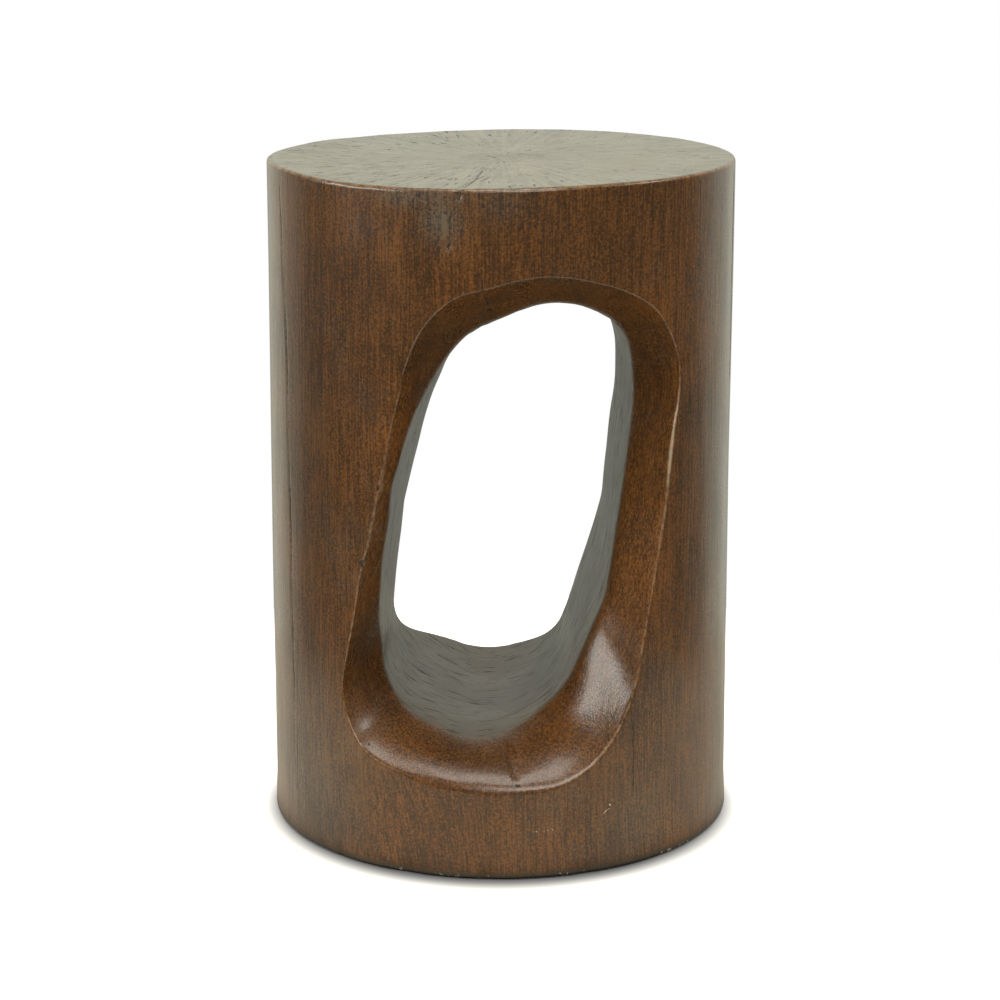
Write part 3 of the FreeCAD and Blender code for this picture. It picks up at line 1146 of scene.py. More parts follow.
    def work_surface(self, mesh: bpy.types.Mesh, draft: MeshDraft) -> None:
        """Presses tool marks, checks and dents into the mesh and stores the marks that the finish reads.

        Args:
            mesh: The log's mesh.
            draft: What it was laid out in, with its marks.
        """
        points = read_vectors(mesh.vertices, "co")
        normals = read_vectors(mesh.vertex_normals, "vector")
        marks = {name: draft.mark(name) for name in MeshDraft.MARKS}
        handled = points[:, 2] > self.bottom + 0.0002
        press = smooth_step(marks["carved"], 0.9, 1.0) * self.gouge_marks.at(points)
        press += (1.0 - marks["carved"]) * self.wall_marks.at(points)
        press += marks["end_grain"] * self.top_marks.at(points)
        check = np.zeros(len(points))
        for groove in self.grooves():
            openness = groove.openness(points)
            press = press - groove.depth * openness
            check = np.maximum(check, groove.dark * openness)
        for dent in self.dents():
            press = press - dent.depth * dent.weight(points)
        marks |= {"check": check, "drift": self.brush_drift(points)}
        marks |= {tint.value: np.zeros(len(points)) for tint in Tint}
        for stain in self.stains():
            marks[stain.tint.value] = np.maximum(marks[stain.tint.value], stain.weight(points))
        lift = self.saw_lift(points)
        points = points + normals * (press * handled)[:, None]
        points[:, 2] += lift
        mesh.vertices.foreach_set("co", points.ravel())
        for name, values in marks.items():
            layer = mesh.attributes.new(name, "FLOAT", "POINT")
            layer.data.foreach_set("value", values.astype(np.float32))
        mesh.update()


@dataclass(frozen=True)
class Grain:
    """Soft noise that a finish is made of.

    Attributes:
        scale: How many features it has to a metre.
        detail: How many finer layers it has.
        roughness: How strong these are.
        stretch: How much closer its features lie along X, Y and Z.
    """

    scale: float
    detail: float = 2.0
    roughness: float = 0.5
    stretch: Point | None = None


class Wiring:
    """Short hand for wiring a node tree."""

    MIX_SHARE, MIX_FIRST, MIX_SECOND, MIX_RESULT = 0, 6, 7, 2

    def __init__(self, tree: bpy.types.NodeTree) -> None:
        """Starts from an empty tree."""
        self.tree = tree
        tree.nodes.clear()

    def node(self, kind: str, *values: object, **settings: object) -> bpy.types.Node:
        """Adds a node, sets its options and feeds its first sockets.

        Args:
            kind: The node's type.
            *values: What its first sockets get, in their order.
            **settings: Its options.

        Returns:
            The node.
        """
        node = self.tree.nodes.new(kind)
        for name, value in settings.items():
            setattr(node, name, value)
        for socket, value in zip(node.inputs, values):
            self.feed(socket, value)
        return node

    def fitted(self, kind: str, sockets: dict[str | int, object], **settings: object) -> bpy.types.Node:
        """Adds a node and feeds its sockets by name or number.

        Args:
            kind: The node's type.
            sockets: What its sockets get.
            **settings: Its options.

        Returns:
            The node.
        """
        node = self.node(kind, **settings)
        for name, value in sockets.items():
            self.feed(node.inputs[name], value)
        return node

    def feed(self, socket: Socket, value: object) -> None:
        """Links a socket's value, or sets it where it is a constant.

        Args:
            socket: The socket.
            value: Another node's socket, or a constant.
        """
        if isinstance(value, Socket):
            self.tree.links.new(value, socket)
        elif socket.type == "RGBA" and len(value) == 3:
            socket.default_value = (*value, 1.0)
        else:
            socket.default_value = value

    def place(self) -> Socket:
        """Where on the object a finish is asked for."""
        return self.node("ShaderNodeTexCoord").outputs["Object"]

    def mark(self, name: str) -> Socket:
        """Reads one of the mesh's own marks."""
        return self.node("ShaderNodeAttribute", attribute_name=name).outputs["Fac"]

    def math(self, operation: str, first: object, second: object = 0.0) -> Socket:
        """Works one sum on one or two numbers."""
        return self.node("ShaderNodeMath", first, second, operation=operation).outputs[0]

    def times(self, first: object, second: object) -> Socket:
        """Multiplies two numbers."""
        return self.math("MULTIPLY", first, second)

    def most(self, first: object, second: object) -> Socket:
        """Takes the larger of two numbers."""
        return self.math("MAXIMUM", first, second)

    def raised(self, base: object, *shares: tuple[object, float]) -> Socket:
        """Adds numbers to a base by weight.

        Args:
            base: What they are added to.
            *shares: Each number and its weight.

        Returns:
            The sum.
        """
        for share, weight in shares:
            base = self.math("ADD", base, self.times(share, weight))
        return base

    def weigh(self, *shares: tuple[object, float]) -> Socket:
        """Adds up noises by weight, so that noises of 0.5 give 0.5."""
        return self.raised(0.5 - 0.5 * sum(weight for _, weight in shares), *shares)

    def vector(self, operation: str, first: object, second: object) -> Socket:
        """Works one sum on two vectors."""
        return self.node("ShaderNodeVectorMath", first, second, operation=operation).outputs[0]

    def dot(self, first: object, second: object) -> Socket:
        """Multiplies two vectors to a number."""
        return self.node("ShaderNodeVectorMath", first, second, operation="DOT_PRODUCT").outputs["Value"]

    def length(self, vector: object) -> Socket:
        """Measures a vector."""
        return self.node("ShaderNodeVectorMath", vector, operation="LENGTH").outputs["Value"]

    def scaled(self, vector: object, factor: object) -> Socket:
        """Makes a vector longer or shorter."""
        sockets = {0: vector, "Scale": factor}
        return self.fitted("ShaderNodeVectorMath", sockets, operation="SCALE").outputs[0]

    def parts(self, vector: object) -> tuple[Socket, ...]:
        """Takes a vector apart into x, y and z."""
        return tuple(self.node("ShaderNodeSeparateXYZ", vector).outputs)

    def joined(self, x: object, y: object) -> Socket:
        """Makes a flat vector of two numbers."""
        return self.node("ShaderNodeCombineXYZ", x, y).outputs[0]

    def noise(self, where: object, grain: Grain) -> Socket:
        """Reads soft noise at a place.

        Args:
            where: The place.
            grain: The noise.

        Returns:
            The noise, about 0.5 in the mean.
        """
        if grain.stretch is not None:
            where = self.vector("MULTIPLY", where, grain.stretch)
        sockets = {
            "Vector": where, "Scale": grain.scale, "Detail": grain.detail, "Roughness": grain.roughness}
        return self.fitted("ShaderNodeTexNoise", sockets).outputs["Fac"]

    def swayed(self, where: object, scale: float, reach: Point) -> Socket:
        """Shifts a place to and fro, so that what is drawn by it wanders.

        Args:
            where: The place.
            scale: How many swings there are to a metre.
            reach: How far they go along X, Y and Z.

        Returns:
            The shifted place.
        """
        noise = self.fitted("ShaderNodeTexNoise", {"Vector": where, "Scale": scale})
        swing = self.vector("SUBTRACT", noise.outputs["Color"], (0.5, 0.5, 0.5))
        return self.vector("ADD", where, self.vector("MULTIPLY", swing, reach))

    def step(self, value: object, low: float, high: float) -> Socket:
        """Rises smoothly from 0 at low to 1 at high, or falls where low is the larger."""
        sockets = {
            "Value": value, "From Min": min(low, high), "From Max": max(low, high),
            "To Min": float(low > high), "To Max": float(low < high)}
        return self.fitted("ShaderNodeMapRange", sockets, interpolation_type="SMOOTHSTEP").outputs["Result"]

    def ramp(self, value: object, stops: tuple[tuple[float, Colour], ...]) -> Socket:
        """Turns a number into a colour.

        Args:
            value: The number.
            stops: Numbers in rising order, each with its colour.

        Returns:
            The colour.
        """
        node = self.node("ShaderNodeValToRGB", value)
        band = node.color_ramp
        while len(band.elements) < len(stops):
            band.elements.new(0.5)
        for element, (place, colour) in zip(band.elements, stops):
            element.position = place
            element.color = (*colour, 1.0)
        return node.outputs["Color"]

    def mix(self, share: object, first: object, second: object, blend: str = "MIX") -> Socket:
        """Mixes two colours.

        Args:
            share: How much of the second there is.
            first: The first colour.
            second: The second colour.
            blend: The kind of mixing.

        Returns:
            The mixed colour.
        """
        sockets = {self.MIX_SHARE: share, self.MIX_FIRST: first, self.MIX_SECOND: second}
        node = self.fitted("ShaderNodeMix", sockets, data_type="RGBA", blend_type=blend)
        return node.outputs[self.MIX_RESULT]

    def bump(self, height: object) -> Socket:
        """Turns a height in metres into a normal."""
        sockets = {"Strength": 1.0, "Distance": 1.0, "Height": height}
        return self.fitted("ShaderNodeBump", sockets).outputs["Normal"]

    def surface(self, **values: object) -> None:
        """Adds the shader and the output.

        Args:
            **values: What the shader's sockets get, with underscores for spaces in their names.
        """
        sockets = {name.replace("_", " "): value for name, value in values.items()}
        shader = self.fitted("ShaderNodeBsdfPrincipled", sockets)
        self.fitted("ShaderNodeOutputMaterial", {"Surface": shader.outputs[0]})


def new_material(name: str) -> tuple[bpy.types.Material, Wiring]:
    """Makes an empty node material.

    Args:
        name: Its name.

    Returns:
        The material and its wiring.
    """
    material = bpy.data.materials.new(name)
    material.use_nodes = True
    return material, Wiring(material.node_tree)


@dataclass(frozen=True)
class Veil:
    """A patchy layer of a finish, which shows where its noise is high.

    Attributes:
        grain: Its noise.
        low: The noise at which it sets in.
        high: The noise at which it is whole.
        strength: How strong it is where it is whole.
    """

    grain: Grain
    low: float
    high: float
    strength: float = 1.0

    def lay(self, wire: Wiring, place: object) -> Socket:
        """Wires how strong it is at a place."""
        return wire.times(wire.step(wire.noise(place, self.grain), self.low, self.high), self.strength)


@dataclass(frozen=True)
class HairMark:
    """A fine line or pit, too small to be shape.

    Attributes:
        start: One end, near the surface.
        end: The other end, or the same place for a pit.
        half_width: From its middle to its edge.
        pale: Whether it bares pale wood, in place of a dark gap.
    """

    CORE = 0.35
    DEPTH = (0.006, 0.005)

    start: Point
    end: Point
    half_width: float = 0.0004
    pale: bool = False

    def near(self, wire: Wiring, place: object, log: bpy.types.Object) -> Socket:
        """Wires how near a place on the log is to the mark.

        Args:
            wire: The finish's wiring.
            place: The place on the log.
            log: The log, whose surface the mark's ends are set on.

        Returns:
            1 on the mark and 0 away from it.
        """
        _, start, normal, _ = log.closest_point_on_mesh(Vector(self.start))
        _, end, _, _ = log.closest_point_on_mesh(Vector(self.end))
        run = end - start
        offset = wire.vector("SUBTRACT", place, start[:])
        depth = wire.dot(offset, normal)
        flat = wire.vector("SUBTRACT", offset, wire.scaled(normal, depth))
        if run.length > 0.0:
            along = wire.dot(offset, run / run.length_squared)
            along = wire.math("MINIMUM", wire.most(along, 0.0), 1.0)
            flat = wire.vector("SUBTRACT", flat, wire.scaled(run - normal * run.dot(normal), along))
        share = wire.step(wire.length(flat), self.half_width, self.CORE * self.half_width)
        return wire.times(share, wire.step(wire.math("ABSOLUTE", depth), *self.DEPTH))


@dataclass(frozen=True)
class StainedWood:
    """Dark red-brown stain, brushed along the grain, under satin lacquer that is worn along the edges."""

    deep: Colour = (0.043, 0.0205, 0.0078)
    middle: Colour = (0.092, 0.0362, 0.0100)
    light: Colour = (0.152, 0.0610, 0.0160)
    olive: Colour = (0.152, 0.1270, 0.0720)
    throat: Colour = (0.048, 0.0390, 0.0220)
    # Darkens the bottom few millimetres of the wall: grime, and painted shade along the foot
    foot_grime_and_shade: Colour = (0.050, 0.0440, 0.0270)
    worn: Colour = (0.270, 0.160, 0.085)
    bare: Colour = (0.560, 0.480, 0.350)
    crack: Colour = (0.010, 0.0070, 0.0050)
    haze_tint: Colour = (0.88, 1.68, 4.40)
    ember_tint: Colour = (1.28, 1.18, 1.00)
    # Painted fill light: brightens the carved bevels higher up, which face away from the lamps
    bevel_fill_light_tint: Colour = (1.26, 1.30, 1.36)
    # Painted shade
    dusk_tint: Colour = (0.65, 0.67, 0.73)
    # What the stain is made of
    fibre: Grain = Grain(900.0, 3.0, 0.6, (1.0, 1.0, 0.035))
    thread: Grain = Grain(380.0, 2.0, 0.5, (1.0, 1.0, 0.030))
    streak: Grain = Grain(110.0, 3.0, 0.55, (1.0, 1.0, 0.050))
    speck: Grain = Grain(620.0, 2.0, 0.6)
    cloud: Grain = Grain(13.0, 4.0, 0.6)
    patch: Grain = Grain(42.0, 3.0, 0.6, (1.0, 1.0, 0.55))
    stipple: Grain = Grain(560.0)
    rub: Grain = Grain(240.0, 4.0, 0.65)
    grain_sway: float = 6.0
    grain_reach: Point = (0.008, 0.008, 0.0)
    fray_sway: float = 330.0
    fray_reach: Point = (0.003, 0.003, 0.003)
    # What lies over it in patches
    blot: Veil = Veil(Grain(45.0, 4.0, 0.65, (1.0, 1.0, 0.45)), 0.52, 0.70, 0.35)
    glow: Veil = Veil(Grain(21.0, 3.0), 0.50, 0.64, 0.5)
    film: Veil = Veil(Grain(16.0, 4.0, 0.6), 0.53, 0.68, 0.22)
    chatter: Veil = Veil(Grain(1.0, 2.0, 0.6, (48.0, 430.0, 48.0)), 0.60, 0.67)
    chip: Veil = Veil(Grain(34.0), 0.50, 0.56)
    # End grain: how close dashes and rays lie round the pith and outwards, and where dashes show
    pith: Point = (0.0013, -0.0059, 0.0)
    dashes: tuple[float, float, Grain] = (46.0, 60.0, Grain(1.0, 2.0, 0.6))
    rays: tuple[float, float, Grain] = (26.0, 9.0, Grain(1.0, 3.0, 0.6))
    ray_limits: Span = (0.36, 0.60)
    dash_area: Grain = Grain(19.0, 3.0, 0.6)
    dash_left: Span = (0.05, -0.06)
    dash_middle: Span = (0.055, 0.012)
    dash_limit: float = 0.748
    dash_blur: float = 0.03
    # Between which values, and up to which heights, a layer sets in
    # Painted fill light on the carved bevels sets in between these heights
    fill_light_rise: Span = (0.12, 0.22)
    end_limits: Span = (0.5, 1.0)
    pit_limits: Span = (0.50, 0.58)
    # Painted shade along the foot, with grime, sets in below these heights
    foot_shade_height: Span = (0.0062, 0.0040)
    wear_limits: Span = (0.45, 1.0)
    rub_limits: Span = (0.34, 0.66)
    # Painted highlight: bare wood where the right rim's extra wear is strongest
    highlight_bare_limits: Span = (1.1, 1.7)
    chip_limits: Span = (0.56, 0.62)
    chip_height: Span = (0.0036, 0.0022)
    check_limits: Span = (0.30, 0.80)
    # How far a layer covers what is below it
    end_cover: float = 0.75
    throat_cover: float = 0.7
    pit_cover: float = 0.8
    foot_shade_cover: float = 0.75
    worn_cover: float = 0.8
    highlight_bare_cover: float = 0.45
    crack_cover: float = 0.9
    specular: float = 0.42
    lacquer: float = 0.18
    lacquer_roughness: float = 0.16
    marks: tuple[HairMark, ...] = (
        # Fine checks down the wall, the long one at the left first
        HairMark((-0.1440, -0.0638, 0.447), (-0.1419, -0.0695, 0.370), 0.0008),
        HairMark((-0.1419, -0.0695, 0.370), (-0.1409, -0.0724, 0.260), 0.0008),
        HairMark((-0.1409, -0.0724, 0.245), (-0.1403, -0.0737, 0.140), 0.0007),
        HairMark((-0.1403, -0.0737, 0.125), (-0.1398, -0.0750, 0.085), 0.0004),
        HairMark((0.1294, -0.0906, 0.396), (0.1290, -0.0904, 0.454)),
        HairMark((-0.1370, -0.0800, 0.141), (-0.1390, -0.0770, 0.032)),
        HairMark((-0.1560, -0.0300, 0.015), (-0.1560, -0.0300, 0.060)),
        HairMark((0.0880, -0.1315, 0.100), (0.0888, -0.1312, 0.054)),
        HairMark((0.1000, 0.1230, 0.200), (0.0985, 0.1230, 0.430)),
        HairMark((-0.0620, 0.1450, 0.030), (-0.0610, 0.1450, 0.190)),
        HairMark((-0.1390, 0.0740, 0.150), (-0.1380, 0.0740, 0.330)),
        HairMark((-0.0203, -0.1402, 0.457), (-0.0162, -0.1192, 0.457), 0.0009),
        HairMark((-0.0162, -0.1192, 0.457), (-0.0112, -0.0716, 0.457), 0.0007),
        HairMark((-0.0123, -0.1229, 0.457), (-0.0066, -0.1014, 0.457), 0.0007),
        HairMark((-0.0144, -0.1122, 0.457), (-0.0106, -0.0976, 0.457), 0.0008),
        HairMark((-0.0088, 0.0073, 0.457), (-0.0027, -0.0059, 0.457), 0.0007),
        HairMark((-0.0148, -0.0111, 0.457), (-0.0074, -0.0137, 0.457), 0.0007),
        HairMark((-0.0254, -0.1559, 0.4552), (-0.0258, -0.1558, 0.4510), 0.0010),
        # Crack across the upper bevel
        HairMark((-0.0118, -0.1570, 0.4010), (-0.0112, -0.1565, 0.3950), 0.0007),
        HairMark((-0.0095, -0.1500, 0.3880), (-0.0075, -0.1410, 0.3815), 0.0007),
        HairMark((-0.0062, -0.1360, 0.3775), (-0.0058, -0.1340, 0.3768), 0.0010),
        # Knot of the wall, and pits along the opening
        HairMark((-0.0324, -0.1546, 0.4222), (-0.0324, -0.1546, 0.4208), 0.0012),
        HairMark((-0.0600, -0.1070, 0.2880), (-0.0604, -0.1070, 0.2840), 0.0012),
        HairMark((-0.0585, -0.0966, 0.2790), (-0.0588, -0.0960, 0.2740), 0.0013),
        HairMark((0.0778, -0.0310, 0.2590), (0.0778, -0.0310, 0.2590), 0.0010),
        HairMark((0.0750, -0.0150, 0.2340), (0.0750, -0.0150, 0.2340), 0.0007),
        HairMark((-0.0893, -0.1307, 0.2100), (-0.0895, -0.1307, 0.2070), 0.0011),
        HairMark((-0.0786, -0.1371, 0.2620), (-0.0788, -0.1371, 0.2600), 0.0011),
        HairMark((0.0105, -0.1540, 0.0632), (0.0125, -0.1540, 0.0634), 0.0011),
        HairMark((-0.0870, -0.1270, 0.0835), (-0.0868, -0.1268, 0.0825), 0.0010),
        # A scratch and a row of dots low on the front
        HairMark((0.0690, -0.1430, 0.0407), (0.0728, -0.1410, 0.0432), 0.0003, True),
        HairMark((0.0728, -0.1408, 0.0463), (0.0733, -0.1404, 0.0460), 0.0004, True),
        HairMark((0.0237, -0.1570, 0.0330), (0.0243, -0.1570, 0.0330), 0.0005, True),
        HairMark((0.0285, -0.1560, 0.0333), (0.0285, -0.1560, 0.0333), 0.0005, True),
        HairMark((0.0312, -0.1550, 0.0335), (0.0312, -0.1550, 0.0335), 0.0006, True),
        HairMark((0.0343, -0.1545, 0.0335), (0.0343, -0.1545, 0.0335), 0.0004, True),
    )

    def build(self, log: bpy.types.Object) -> bpy.types.Material:
        """Wires the finish for a log.

        Args:
            log: The log, with its marks.

        Returns:
            The finish.
        """
        material, wire = new_material("stained_wood")
        place = wire.place()
        height = wire.parts(place)[2]
        grain = self.along_grain(wire, place)
        fibre, thread, streak = (wire.noise(grain, kind) for kind in (self.fibre, self.thread, self.streak))
        speck, cloud, patch, stipple, rub = (
            wire.noise(place, kind) for kind in (self.speck, self.cloud, self.patch, self.stipple, self.rub))
        throat = wire.mark("throat")
        hammered = wire.mark("stipple")
        end_grain = wire.step(wire.mark("end_grain"), *self.end_limits)
        dash, ray = self.end_marks(wire, place)
        dark, pale = self.hair_marks(wire, place, log)

        tone = wire.weigh((fibre, 1.00), (thread, 0.26), (streak, 0.24), (speck, 1.15), (cloud, 0.55))
        colour = wire.ramp(tone, ((0.30, self.deep), (0.50, self.middle), (0.70, self.light)))
        colour = self.tint_patches(wire, place, height, colour)
        pale_end = wire.mix(ray, self.throat, self.olive)
        colour = wire.mix(wire.times(end_grain, self.end_cover), colour, pale_end)
        colour = wire.mix(wire.times(throat, self.throat_cover), colour, self.throat)
        pitted = wire.times(wire.step(stipple, *self.pit_limits), hammered)
        colour = wire.mix(wire.times(pitted, self.pit_cover), colour, self.deep)
        # Dark band along the foot: grime, and painted shade
        foot_shaded = wire.step(height, *self.foot_shade_height)
        colour = wire.mix(wire.times(foot_shaded, self.foot_shade_cover), colour, self.foot_grime_and_shade)
        colour = self.wear_down_and_highlight(wire, rub, colour)
        chip = wire.times(self.chip.lay(wire, place), wire.step(rub, *self.chip_limits))
        chip = wire.times(chip, wire.step(height, *self.chip_height))
        colour = wire.mix(wire.most(chip, pale), colour, self.bare)
        check = wire.step(wire.mark("check"), *self.check_limits)
        chatter = wire.times(self.chatter.lay(wire, place), throat)
        gap = wire.most(wire.most(check, dark), wire.most(wire.times(dash, end_grain), chatter))
        colour = wire.mix(wire.times(gap, self.crack_cover), colour, self.crack)

        relief = wire.weigh((fibre, 0.00014), (thread, 0.00010), (speck, 0.00008), (rub, 0.00006))
        relief = wire.raised(relief, (wire.times(stipple, hammered), 0.0004), (gap, -0.0003))
        wire.surface(
            Base_Color=colour, Roughness=wire.raised(0.20, (patch, 0.18), (throat, 0.22), (gap, 0.4)),
            Normal=wire.bump(relief), Specular_IOR_Level=self.specular, Coat_Weight=self.lacquer,
            Coat_Roughness=self.lacquer_roughness)
        return material

    def along_grain(self, wire: Wiring, place: object) -> Socket:
        """The place as the grain sees it: it wanders, and drifts where the brush slanted."""
        grain = wire.swayed(place, self.grain_sway, self.grain_reach)
        return wire.vector("SUBTRACT", grain, wire.scaled((1.0, 0.0, 0.0), wire.mark("drift")))

    def tint_patches(self, wire: Wiring, place: object, height: object, colour: object) -> Socket:
        """Lays blots, embers, haze and painted shade over the stain, and paints fill light onto the carved
        bevels higher up, which face away from the lamps.

        Args:
            wire: The finish's wiring.
            place: The place on the log.
            height: The place's height.
            colour: The stain.

        Returns:
            The tinted stain.
        """
        colour = wire.mix(self.blot.lay(wire, place), colour, self.deep)
        layers = (
            (wire.most(self.glow.lay(wire, place), wire.mark("ember")), self.ember_tint),
            (wire.most(self.film.lay(wire, place), wire.mark("haze")), self.haze_tint),
            # Painted shade
            (wire.mark("dusk"), self.dusk_tint),
            # Painted fill light on the carved bevels higher up
            (wire.times(wire.mark("carved"), wire.step(height, *self.fill_light_rise)), self.bevel_fill_light_tint),
        )
        for share, tint in layers:
            colour = wire.mix(share, colour, wire.mix(1.0, colour, tint, "MULTIPLY"))
        return colour

    def wear_down_and_highlight(self, wire: Wiring, rub: object, colour: object) -> Socket:
        """Wears the edges pale, and paints a highlight line as bare wood where the wear is strongest, along
        the right of the rim.

        Args:
            wire: The finish's wiring.
            rub: The noise that breaks up the wear.
            colour: The finish before it was worn.

        Returns:
            The worn finish.
        """
        mark = wire.mark("wear")
        wear = wire.times(wire.step(mark, *self.wear_limits), wire.step(rub, *self.rub_limits))
        colour = wire.mix(wire.times(wear, self.worn_cover), colour, self.worn)
        # Painted highlight along the right of the rim, drawn as bare wood
        return wire.mix(wire.times(wire.step(mark, *self.highlight_bare_limits), self.highlight_bare_cover), colour, self.bare)

    def end_marks(self, wire: Wiring, place: object) -> tuple[Socket, Socket]:
        """Short radial dashes and broad soft rays round the pith, for the end grain.

        Args:
            wire: The finish's wiring.
            place: The place on the log.

        Returns:
            The dashes and the rays, each from 0 to 1.
        """
        x, y, _ = wire.parts(wire.vector("SUBTRACT", place, self.pith))
        turn = wire.math("ARCTAN2", y, x)
        radius = wire.math("SQRT", wire.math("ADD", wire.times(x, x), wire.times(y, y)))
        short, long = (
            wire.noise(wire.joined(wire.times(turn, around), wire.times(radius, outward)), grain)
            for around, outward, grain in (self.dashes, self.rays))
        area = wire.noise(place, self.dash_area)
        leftward = wire.step(x, *self.dash_left)
        central = wire.step(radius, *self.dash_middle)
        limit = wire.raised(self.dash_limit, (area, -0.18), (leftward, -0.032), (central, -0.035))
        dash = wire.step(wire.math("SUBTRACT", short, limit), 0.0, self.dash_blur)
        return dash, wire.step(long, *self.ray_limits)

    def hair_marks(self, wire: Wiring, place: object, log: bpy.types.Object) -> tuple[Socket, Socket]:
        """Wires the fine marks.

        Args:
            wire: The finish's wiring.
            place: The place on the log.
            log: The log that they lie on.

        Returns:
            The dark marks and the pale ones, each from 0 to 1.
        """
        frayed = wire.swayed(place, self.fray_sway, self.fray_reach)
        totals: dict[bool, object] = {False: 0.0, True: 0.0}
        for mark in self.marks:
            totals[mark.pale] = wire.most(totals[mark.pale], mark.near(wire, frayed, log))
        return totals[False], totals[True]


@dataclass(frozen=True)
class MouldedRubber:
    """Black moulded rubber, matte, with a fine pebble and a little dust."""

    black: Colour = (0.020, 0.020, 0.021)
    dusty: Colour = (0.075, 0.072, 0.068)
    pebble: Grain = Grain(1400.0)
    dust: Grain = Grain(160.0, 4.0, 0.6)
    dust_limits: Span = (0.48, 0.72)
    pebble_height: float = 0.00008
    roughness: float = 0.62
    specular: float = 0.35

    def build(self) -> bpy.types.Material:
        """Wires the finish.

        Returns:
            The finish.
        """
        material, wire = new_material("foot_rubber")
        place = wire.place()
        dust = wire.noise(place, self.dust)
        pebble = wire.times(wire.noise(place, self.pebble), self.pebble_height)
        wire.surface(
            Base_Color=wire.mix(wire.step(dust, *self.dust_limits), self.black, self.dusty),
            Roughness=wire.raised(self.roughness, (dust, 0.2)), Normal=wire.bump(pebble),
            Specular_IOR_Level=self.specular)
        return material


@dataclass(frozen=True)
class ZincPlate:
    """Bright zinc plate over steel, with faint turning marks and dull spots."""

    bright: Colour = (0.62, 0.63, 0.64)
    dull: Colour = (0.40, 0.40, 0.39)
    spots: Grain = Grain(420.0, 4.0, 0.6)
    turning: Grain = Grain(900.0, stretch=(1.0, 1.0, 6.0))
    spot_limits: Span = (0.45, 0.70)
    turning_height: float = 0.00002
    roughness: float = 0.24

    def build(self) -> bpy.types.Material:
        """Wires the finish.

        Returns:
            The finish.
        """
        material, wire = new_material("zinc_steel")
        place = wire.place()
        spots = wire.noise(place, self.spots)
        turning = wire.times(wire.noise(place, self.turning), self.turning_height)
        wire.surface(
            Base_Color=wire.mix(wire.step(spots, *self.spot_limits), self.bright, self.dull),
            Roughness=wire.raised(self.roughness, (spots, 0.22)), Metallic=1.0, Normal=wire.bump(turning))
        return material


@dataclass
class FootSet:
    """The four feet with their washers and screws, shown by the part's own solids."""

    rubber: MouldedRubber
    zinc: ZincPlate

    def dress(self, nodes: dict[str, bpy.types.Object]) -> list[bpy.types.Object]:
        """Gives the solids their finishes.

        Args:
            nodes: The part's solids by name.

        Returns:
            The dressed solids.
        """
        rubber = self.rubber.build()
        zinc = self.zinc.build()
        dressed = []
        for corner in Corner:
            for ending, material in (("foot", rubber), ("foot_washer", zinc), ("foot_screw", zinc)):
                solid = nodes[f"{corner.name}_{ending}"]
                for slot in solid.material_slots:
                    slot.material = material
                dressed.append(solid)
        return dressed


@dataclass(frozen=True)
class SoftBox:
    """A soft lamp aimed at a point.

    Attributes:
        name: What it lights.
        place: Where it hangs.
        aim: What it faces.
        width: Its width.
        height: Its height.
        watts: Its power.
        colour: Its light, a little warm.
    """

    name: str
    place: Point
    aim: Point
    width: float
    height: float
    watts: float
    colour: Colour = (1.0, 0.985, 0.92)

    def hang(self) -> None:
        """Adds the lamp to the scene."""
        lamp = bpy.data.lights.new(self.name, "AREA")
        lamp.shape = "RECTANGLE"
        lamp.size = self.width
        lamp.size_y = self.height
        lamp.energy = self.watts
        lamp.color = self.colour
        box = stand(self.name, lamp)
        box.location = self.place
        box.rotation_euler = (Vector(self.aim) - Vector(self.place)).to_track_quat("-Z", "Y").to_euler()
        box.visible_camera = False


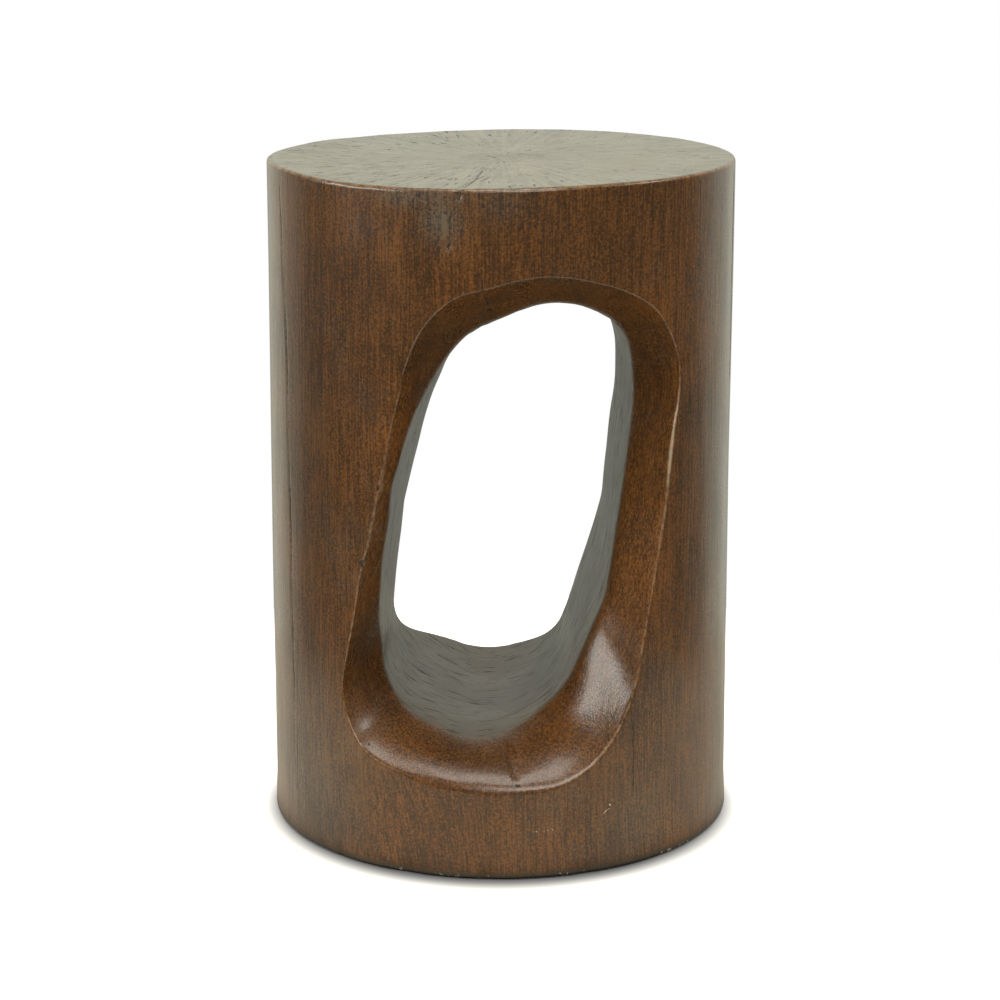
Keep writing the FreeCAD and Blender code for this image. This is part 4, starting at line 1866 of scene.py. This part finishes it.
@dataclass
class Studio:
    """A pale round floor with a painted shadow round the foot, a white surround that is dark on the camera's
    side, soft lamps and the camera.
    """

    camera_place: Point = (0.0, -1.819, 0.690)
    camera_pitch: float = 14.54
    lens: float = 96.94
    sensor: float = 36.0
    # The floor, and the ring round the foot in which it turns from a painted shadow to white
    floor_radius: float = 0.50
    shade_middle: Point = (0.0, -0.011, 0.0)
    shade_ring: Span = (0.148, 0.180)
    floor_shade: Colour = (0.16, 0.16, 0.17)
    floor_open: Colour = (0.82, 0.80, 0.70)
    # The surround: the backdrop from low to high, the object's own shade on it, and the room
    backdrop_low: Colour = (0.95, 0.99, 0.84)
    backdrop_high: Colour = (0.98, 0.99, 0.85)
    backdrop_rise: Span = (0.14, 0.30)
    backdrop_edge: Span = (0.28, 0.80)
    own_shade: Colour = (0.42, 0.43, 0.38)
    own_shade_top: Span = (0.10, 0.0)
    own_shade_side: Span = (0.40, 0.20)
    room: Colour = (0.17, 0.17, 0.145)
    white: Colour = (1.0, 1.0, 1.0)
    lamps: tuple[SoftBox, ...] = (
        SoftBox("key", (0.40, -1.9, 1.50), (0.0, 0.0, 0.22), 1.1, 0.8, 25.0),
        SoftBox("left", (-1.21, -0.47, 0.72), (0.06, -0.12, 0.11), 0.85, 0.36, 10.5),
        SoftBox("right", (0.95, -0.19, 1.05), (0.0, -0.1, 0.12), 0.24, 0.30, 3.0),
        SoftBox("overhead", (0.0, -0.50, 1.85), (0.0, -0.10, 0.0), 0.90, 0.70, 14.0),
    )

    def build(self) -> None:
        """Sets the whole stage."""
        self.lay_floor()
        self.light_surround()
        for lamp in self.lamps:
            lamp.hang()
        self.place_camera()
        bpy.context.scene.view_settings.view_transform = "Standard"

    def lay_floor(self) -> None:
        """Lays the floor, which keeps its own shadow, darkened by a painted shadow in a ring close round the
        foot, and is white beyond it.
        """
        mesh = bpy.data.meshes.new("floor")
        disc = bmesh.new()
        bmesh.ops.create_circle(disc, cap_ends=True, segments=96, radius=self.floor_radius)
        disc.to_mesh(mesh)
        disc.free()
        floor = stand("floor", mesh)
        material, wire = new_material("floor_white")
        away = wire.length(wire.vector("SUBTRACT", wire.place(), self.shade_middle))
        open_floor = wire.step(away, *self.shade_ring)
        seen = wire.node("ShaderNodeLightPath").outputs["Is Camera Ray"]
        # Painted shadow: the floor's colour is dark inside the ring round the foot
        tint = wire.mix(open_floor, self.floor_shade, self.floor_open)
        matte = wire.fitted("ShaderNodeBsdfDiffuse", {"Color": tint})
        shine = wire.fitted("ShaderNodeEmission", {"Strength": wire.times(seen, open_floor)})
        both = wire.node("ShaderNodeAddShader", matte.outputs[0], shine.outputs[0])
        wire.fitted("ShaderNodeOutputMaterial", {"Surface": both.outputs[0]})
        mesh.materials.append(material)

    def light_surround(self) -> None:
        """Makes the surround: white to the camera, and for the object a white backdrop in a dim room."""
        world = bpy.data.worlds.new("surround")
        bpy.context.scene.world = world
        world.use_nodes = True
        wire = Wiring(world.node_tree)
        side, ahead, up = wire.parts(wire.node("ShaderNodeTexCoord").outputs["Generated"])
        below = wire.step(up, *self.own_shade_top)
        shaded = wire.times(below, wire.step(wire.math("ABSOLUTE", side), *self.own_shade_side))
        backdrop = wire.mix(wire.step(up, *self.backdrop_rise), self.backdrop_low, self.backdrop_high)
        backdrop = wire.mix(shaded, backdrop, self.own_shade)
        room = wire.mix(wire.step(ahead, *self.backdrop_edge), self.room, backdrop)
        seen = wire.node("ShaderNodeLightPath").outputs["Is Camera Ray"]
        sockets = {"Color": wire.mix(seen, room, self.white), "Strength": 1.0}
        light = wire.fitted("ShaderNodeBackground", sockets)
        wire.fitted("ShaderNodeOutputWorld", {"Surface": light.outputs[0]})

    def place_camera(self) -> None:
        """Stands the camera where the photograph was taken from."""
        lens = bpy.data.cameras.new("camera")
        lens.lens = self.lens
        lens.sensor_width = self.sensor
        camera = stand("camera", lens)
        camera.location = self.camera_place
        camera.rotation_euler = (math.radians(90.0 - self.camera_pitch), 0.0, 0.0)
        bpy.context.scene.camera = camera


def main() -> None:
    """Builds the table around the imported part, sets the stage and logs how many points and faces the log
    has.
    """
    logging.basicConfig(level=logging.INFO, format="%(name)s: %(message)s")
    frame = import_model()
    log = CarvedLog(CarvedOpening()).build()
    log.data.materials.append(StainedWood().build(log))
    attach(log, "root")
    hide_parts("stump_body")
    LOG.info("carved_log: %d points, %d faces", len(log.data.vertices), len(log.data.polygons))
    for solid in FootSet(MouldedRubber(), ZincPlate()).dress(frame["nodes"]):
        LOG.info("%s: dressed", solid.name)
    Studio().build()


if __name__ == "__main__":
    main()
